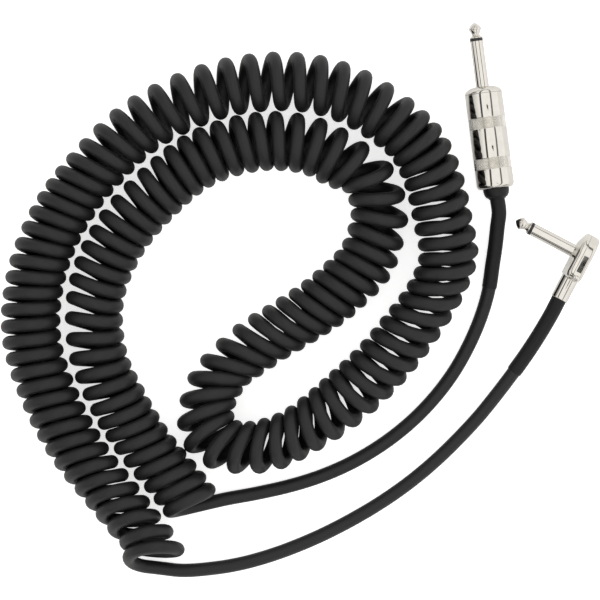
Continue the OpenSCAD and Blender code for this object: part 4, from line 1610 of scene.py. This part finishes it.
def sweep(
    name: str,
    line: np.ndarray,
    outer: np.ndarray,
    sides: int,
    bore: np.ndarray | None = None,
) -> bpy.types.Object:
    """Sweep a round cord, or a tube, along a line without twisting it.

    Args:
        name: Name of the piece.
        line: Middle line in millimetres.
        outer: Radius at each point.
        sides: Corners of one ring.
        bore: Radius of the bore at each point, where it is a tube.

    Returns:
        The piece.
    """
    ahead = directions(line)
    lifts = np.empty_like(line)
    lift = unit(UP - np.dot(UP, ahead[0]) * ahead[0])
    for i, direction in enumerate(ahead):
        lift = unit(lift - np.dot(lift, direction) * direction)
        lifts[i] = lift
    across = np.cross(ahead, lifts)
    angles = 2 * math.pi * np.arange(sides) / sides
    spokes = (
        np.cos(angles)[None, :, None] * across[:, None, :]
        + np.sin(angles)[None, :, None] * lifts[:, None, :]
    )
    rings = len(line)
    run = np.concatenate([[0.0], np.cumsum(np.linalg.norm(np.diff(line, axis=0), axis=1))]) * MM
    around = 2 * math.pi * float(outer.max()) * MM * np.arange(sides + 1) / sides
    k = np.arange(sides)
    n = (k + 1) % sides

    def bands(offset: int, flip: bool) -> tuple[np.ndarray, np.ndarray]:
        """Make the faces and UVs of one wall."""
        i = np.arange(rings - 1)[:, None]
        a, b = offset + i * sides + k, offset + i * sides + n
        c, d = offset + (i + 1) * sides + n, offset + (i + 1) * sides + k
        quads = np.stack([a, b, c, d] if not flip else [d, c, b, a], -1).reshape(-1, 4)
        u0, u1 = np.broadcast_to(around[:-1], a.shape), np.broadcast_to(around[1:], a.shape)
        v0, v1 = np.broadcast_to(run[:-1, None], a.shape), np.broadcast_to(run[1:, None], a.shape)
        corners = [(u0, v0), (u1, v0), (u1, v1), (u0, v1)]
        corners = corners if not flip else corners[::-1]
        uv = np.stack([np.stack(c, -1) for c in corners], -2).reshape(-1, 4, 2)
        return quads, uv

    points = (line[:, None, :] + outer[:, None, None] * spokes).reshape(-1, 3)
    faces, uvs = (part.tolist() for part in bands(0, False))
    if bore is None:
        for ring, order in ((0, k[::-1]), (rings - 1, k)):
            faces.append([int(ring * sides + j) for j in order])
            uvs.append([(float(around[j]), float(run[ring])) for j in order])
    else:
        inside = rings * sides
        wall = (line[:, None, :] + bore[:, None, None] * spokes).reshape(-1, 3)
        points = np.vstack([points, wall])
        more, more_uv = (part.tolist() for part in bands(inside, True))
        faces += more
        uvs += more_uv
        for ring, flip in ((0, False), (rings - 1, True)):
            for j in range(sides):
                m = (j + 1) % sides
                base = ring * sides
                quad = [inside + base + j, inside + base + m, base + m, base + j]
                uv = [(float(around[j]), float(run[ring]))] * 4
                faces.append(quad if not flip else quad[::-1])
                uvs.append(uv)
    mesh = mesh_from(name, points, faces, uvs, CORD_UV)
    shade(mesh)
    return make_object(name, mesh)


@dataclass
class Cord:
    """The whole cord from plug to plug, with the shrink sleeve behind each plug.

    Args:
        straight: The straight plug.
        angle: The right-angle plug.
        curls: The curly stretch.
        diameter: Diameter of the jacket.
        sides: Corners of one ring of the cord.
        step: Distance between rings along the tails.
        straight_stations: Stations of the cord in and just behind the straight plug.
        angle_reaches: The same in the angle plug, from the shaft's axis.
        straight_course: Route past the straight plug: x, y and height above the cord's lie.
        angle_course: The same past the angle plug.
        straight_sleeve: First and last route point of the straight plug's sleeve, and its radius.
        angle_sleeve: The same for the angle plug's sleeve.
        seat: Radius of the sleeves' bore.
        sleeve_rim: Wall of the sleeves at their ends.
        sleeve_edge: Length over which their ends are drawn down.
        sleeve_step: Distance between their rings.
        sleeve_sides: Corners of one ring of them.
    """

    straight: StraightPlug
    angle: AnglePlug
    curls: Curls = field(default_factory=Curls)
    diameter: float = 6.7
    sides: int = 18
    step: float = 2.2
    straight_stations: tuple[float, ...] = (56.0, 62.5, 71.4, 87.1, 93.5)
    angle_reaches: tuple[float, ...] = (8.5, 14.8, 24.3, 25.3)
    straight_course: tuple[Point, ...] = (
        (-16.5, -31, 4.2), (-17.4, -40, 2.6), (-18.8, -50, 1.1), (-20.4, -61.1, 0.3),
        (-23.4, -72.3, 0), (-27.2, -82.3, 0), (-32, -92.4, 0), (-37.8, -102.4, 0),
        (-45.1, -112.4, 0), (-53.9, -122.2, 0), (-65.5, -132.5, 0), (-77.6, -141, 0),
        (-90.6, -148.2, 0), (-104.7, -154.1, 0), (-118.8, -158.4, 0), (-132.9, -161.6, 0),
    )
    angle_course: tuple[Point, ...] = (
        (9.9, -73.7, 5.3), (5.3, -81.8, 3.6), (-1.1, -92, 1.8), (-8.4, -102.4, 0.6),
        (-16.4, -113, 0), (-25.3, -124, 0), (-35.4, -134.9, 0), (-46.4, -145.6, 0),
        (-58.9, -156.1, 0), (-72.6, -165.8, 0), (-86.6, -174.2, 0), (-100.6, -181.5, 0),
        (-114.7, -187.7, 0), (-128.8, -192.8, 0), (-142.8, -196.6, 0), (-156.9, -198.9, 0),
    )
    straight_sleeve: tuple[int, int, float] = (2, 8, 3.67)
    angle_sleeve: tuple[int, int, float] = (1, 7, 3.77)
    seat: float = 3.37
    sleeve_rim: float = 0.04
    sleeve_edge: float = 0.7
    sleeve_step: float = 0.8
    sleeve_sides: int = 40

    def routes(self) -> tuple[Route, np.ndarray, Route]:
        """Lay the straight plug's tail, the curls and the angle plug's tail.

        Returns:
            The two routes, from each plug to the curls, and the curls' line between them.
        """
        curls = self.curls.points()
        run_in = self.diameter * level(curls[1] - curls[0])
        run_out = self.diameter * level(curls[-1] - curls[-2])
        stations = np.array([[0.0, 0.0, s] for s in self.straight_stations])
        reaches = np.array([[-r, 0.0, self.angle.cord_at] for r in self.angle_reaches])
        lie = self.diameter / 2

        def laid(course: Iterable[Point]) -> list[list[float]]:
            """Lift a course by the height that the cord lies at."""
            return [[x, y, z + lie] for x, y, z in course]

        straight = [*self.straight.lay.place(stations), *laid(self.straight_course)]
        angle = [*self.angle.lay.place(reaches), *laid(self.angle_course)]
        straight += [curls[-1] + 2 * run_out, curls[-1] + run_out]
        angle += [curls[0] - 2 * run_in, curls[0] - run_in]
        return Route(straight, self.step), curls, Route(angle, self.step)

    def build(self) -> None:
        straight, curls, angle = self.routes()
        line = np.vstack([straight.samples, curls[::-1], angle.samples[::-1]])
        radius = self.diameter / 2
        cord = sweep("curly_instrument_cord", line, np.full(len(line), radius), self.sides)
        dress(cord, JACKET, Body.CABLE, ["curly_cord", "straight_tail", "angle_tail"])
        sleeves = [
            self.sleeve("straight_heat_shrink", straight, self.straight_sleeve, "straight_sleeve"),
            self.sleeve("angle_heat_shrink", angle, self.angle_sleeve, "angle_sleeve"),
        ]
        rear = self.straight.lay.place(np.array([0.0, 0.0, self.straight.shell_end]))[0]

    def sleeve(
        self, name: str, route: Route, span: tuple[int, int, float], node: str
    ) -> bpy.types.Object:
        """Shrink a sleeve on a stretch of a route, with its ends drawn down to the jacket.

        Args:
            name: Name of the piece.
            route: The tail's route.
            span: First point, last point and radius of the sleeve.
            node: CAD node that it stands for.

        Returns:
            The piece.
        """
        first, last, radius = span
        line = Route(route.between(first, last), self.sleeve_step).samples
        run = np.concatenate([[0.0], np.cumsum(np.linalg.norm(np.diff(line, axis=0), axis=1))])
        from_end = np.minimum(run, run[-1] - run)
        drawn = 1 - (1 - np.clip(from_end / self.sleeve_edge, 0, 1)) ** 2
        rim = self.seat + self.sleeve_rim
        outer = rim + (radius - rim) * np.sqrt(np.clip(drawn, 0, 1))
        piece = sweep(name, line, outer, self.sleeve_sides, np.full(len(line), self.seat))
        return dress(piece, SHRINK, Body.CABLE, [node])


# ---------------------------------------------------------------------------------------------
# The whole cable
# ---------------------------------------------------------------------------------------------


def dress_cad_nodes() -> None:
    """Give every CAD node that stays in sight its finish."""
    for name, finish in CAD_FINISHES.items():
        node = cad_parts[name]
        node.data.materials.clear()
        node.data.materials.append(finish.material())
        log.info("%s: %s", name, finish.name)


def main() -> None:
    """Build the studio, the cord, both plugs and their finishes."""
    logging.basicConfig(level=logging.INFO, format="%(name)s: %(message)s")
    Studio().build()
    straight = StraightPlug()
    angle = AnglePlug()
    Cord(straight, angle).build()
    straight.build()
    angle.build()
    dress_cad_nodes()


if __name__ == "__main__":
    main()
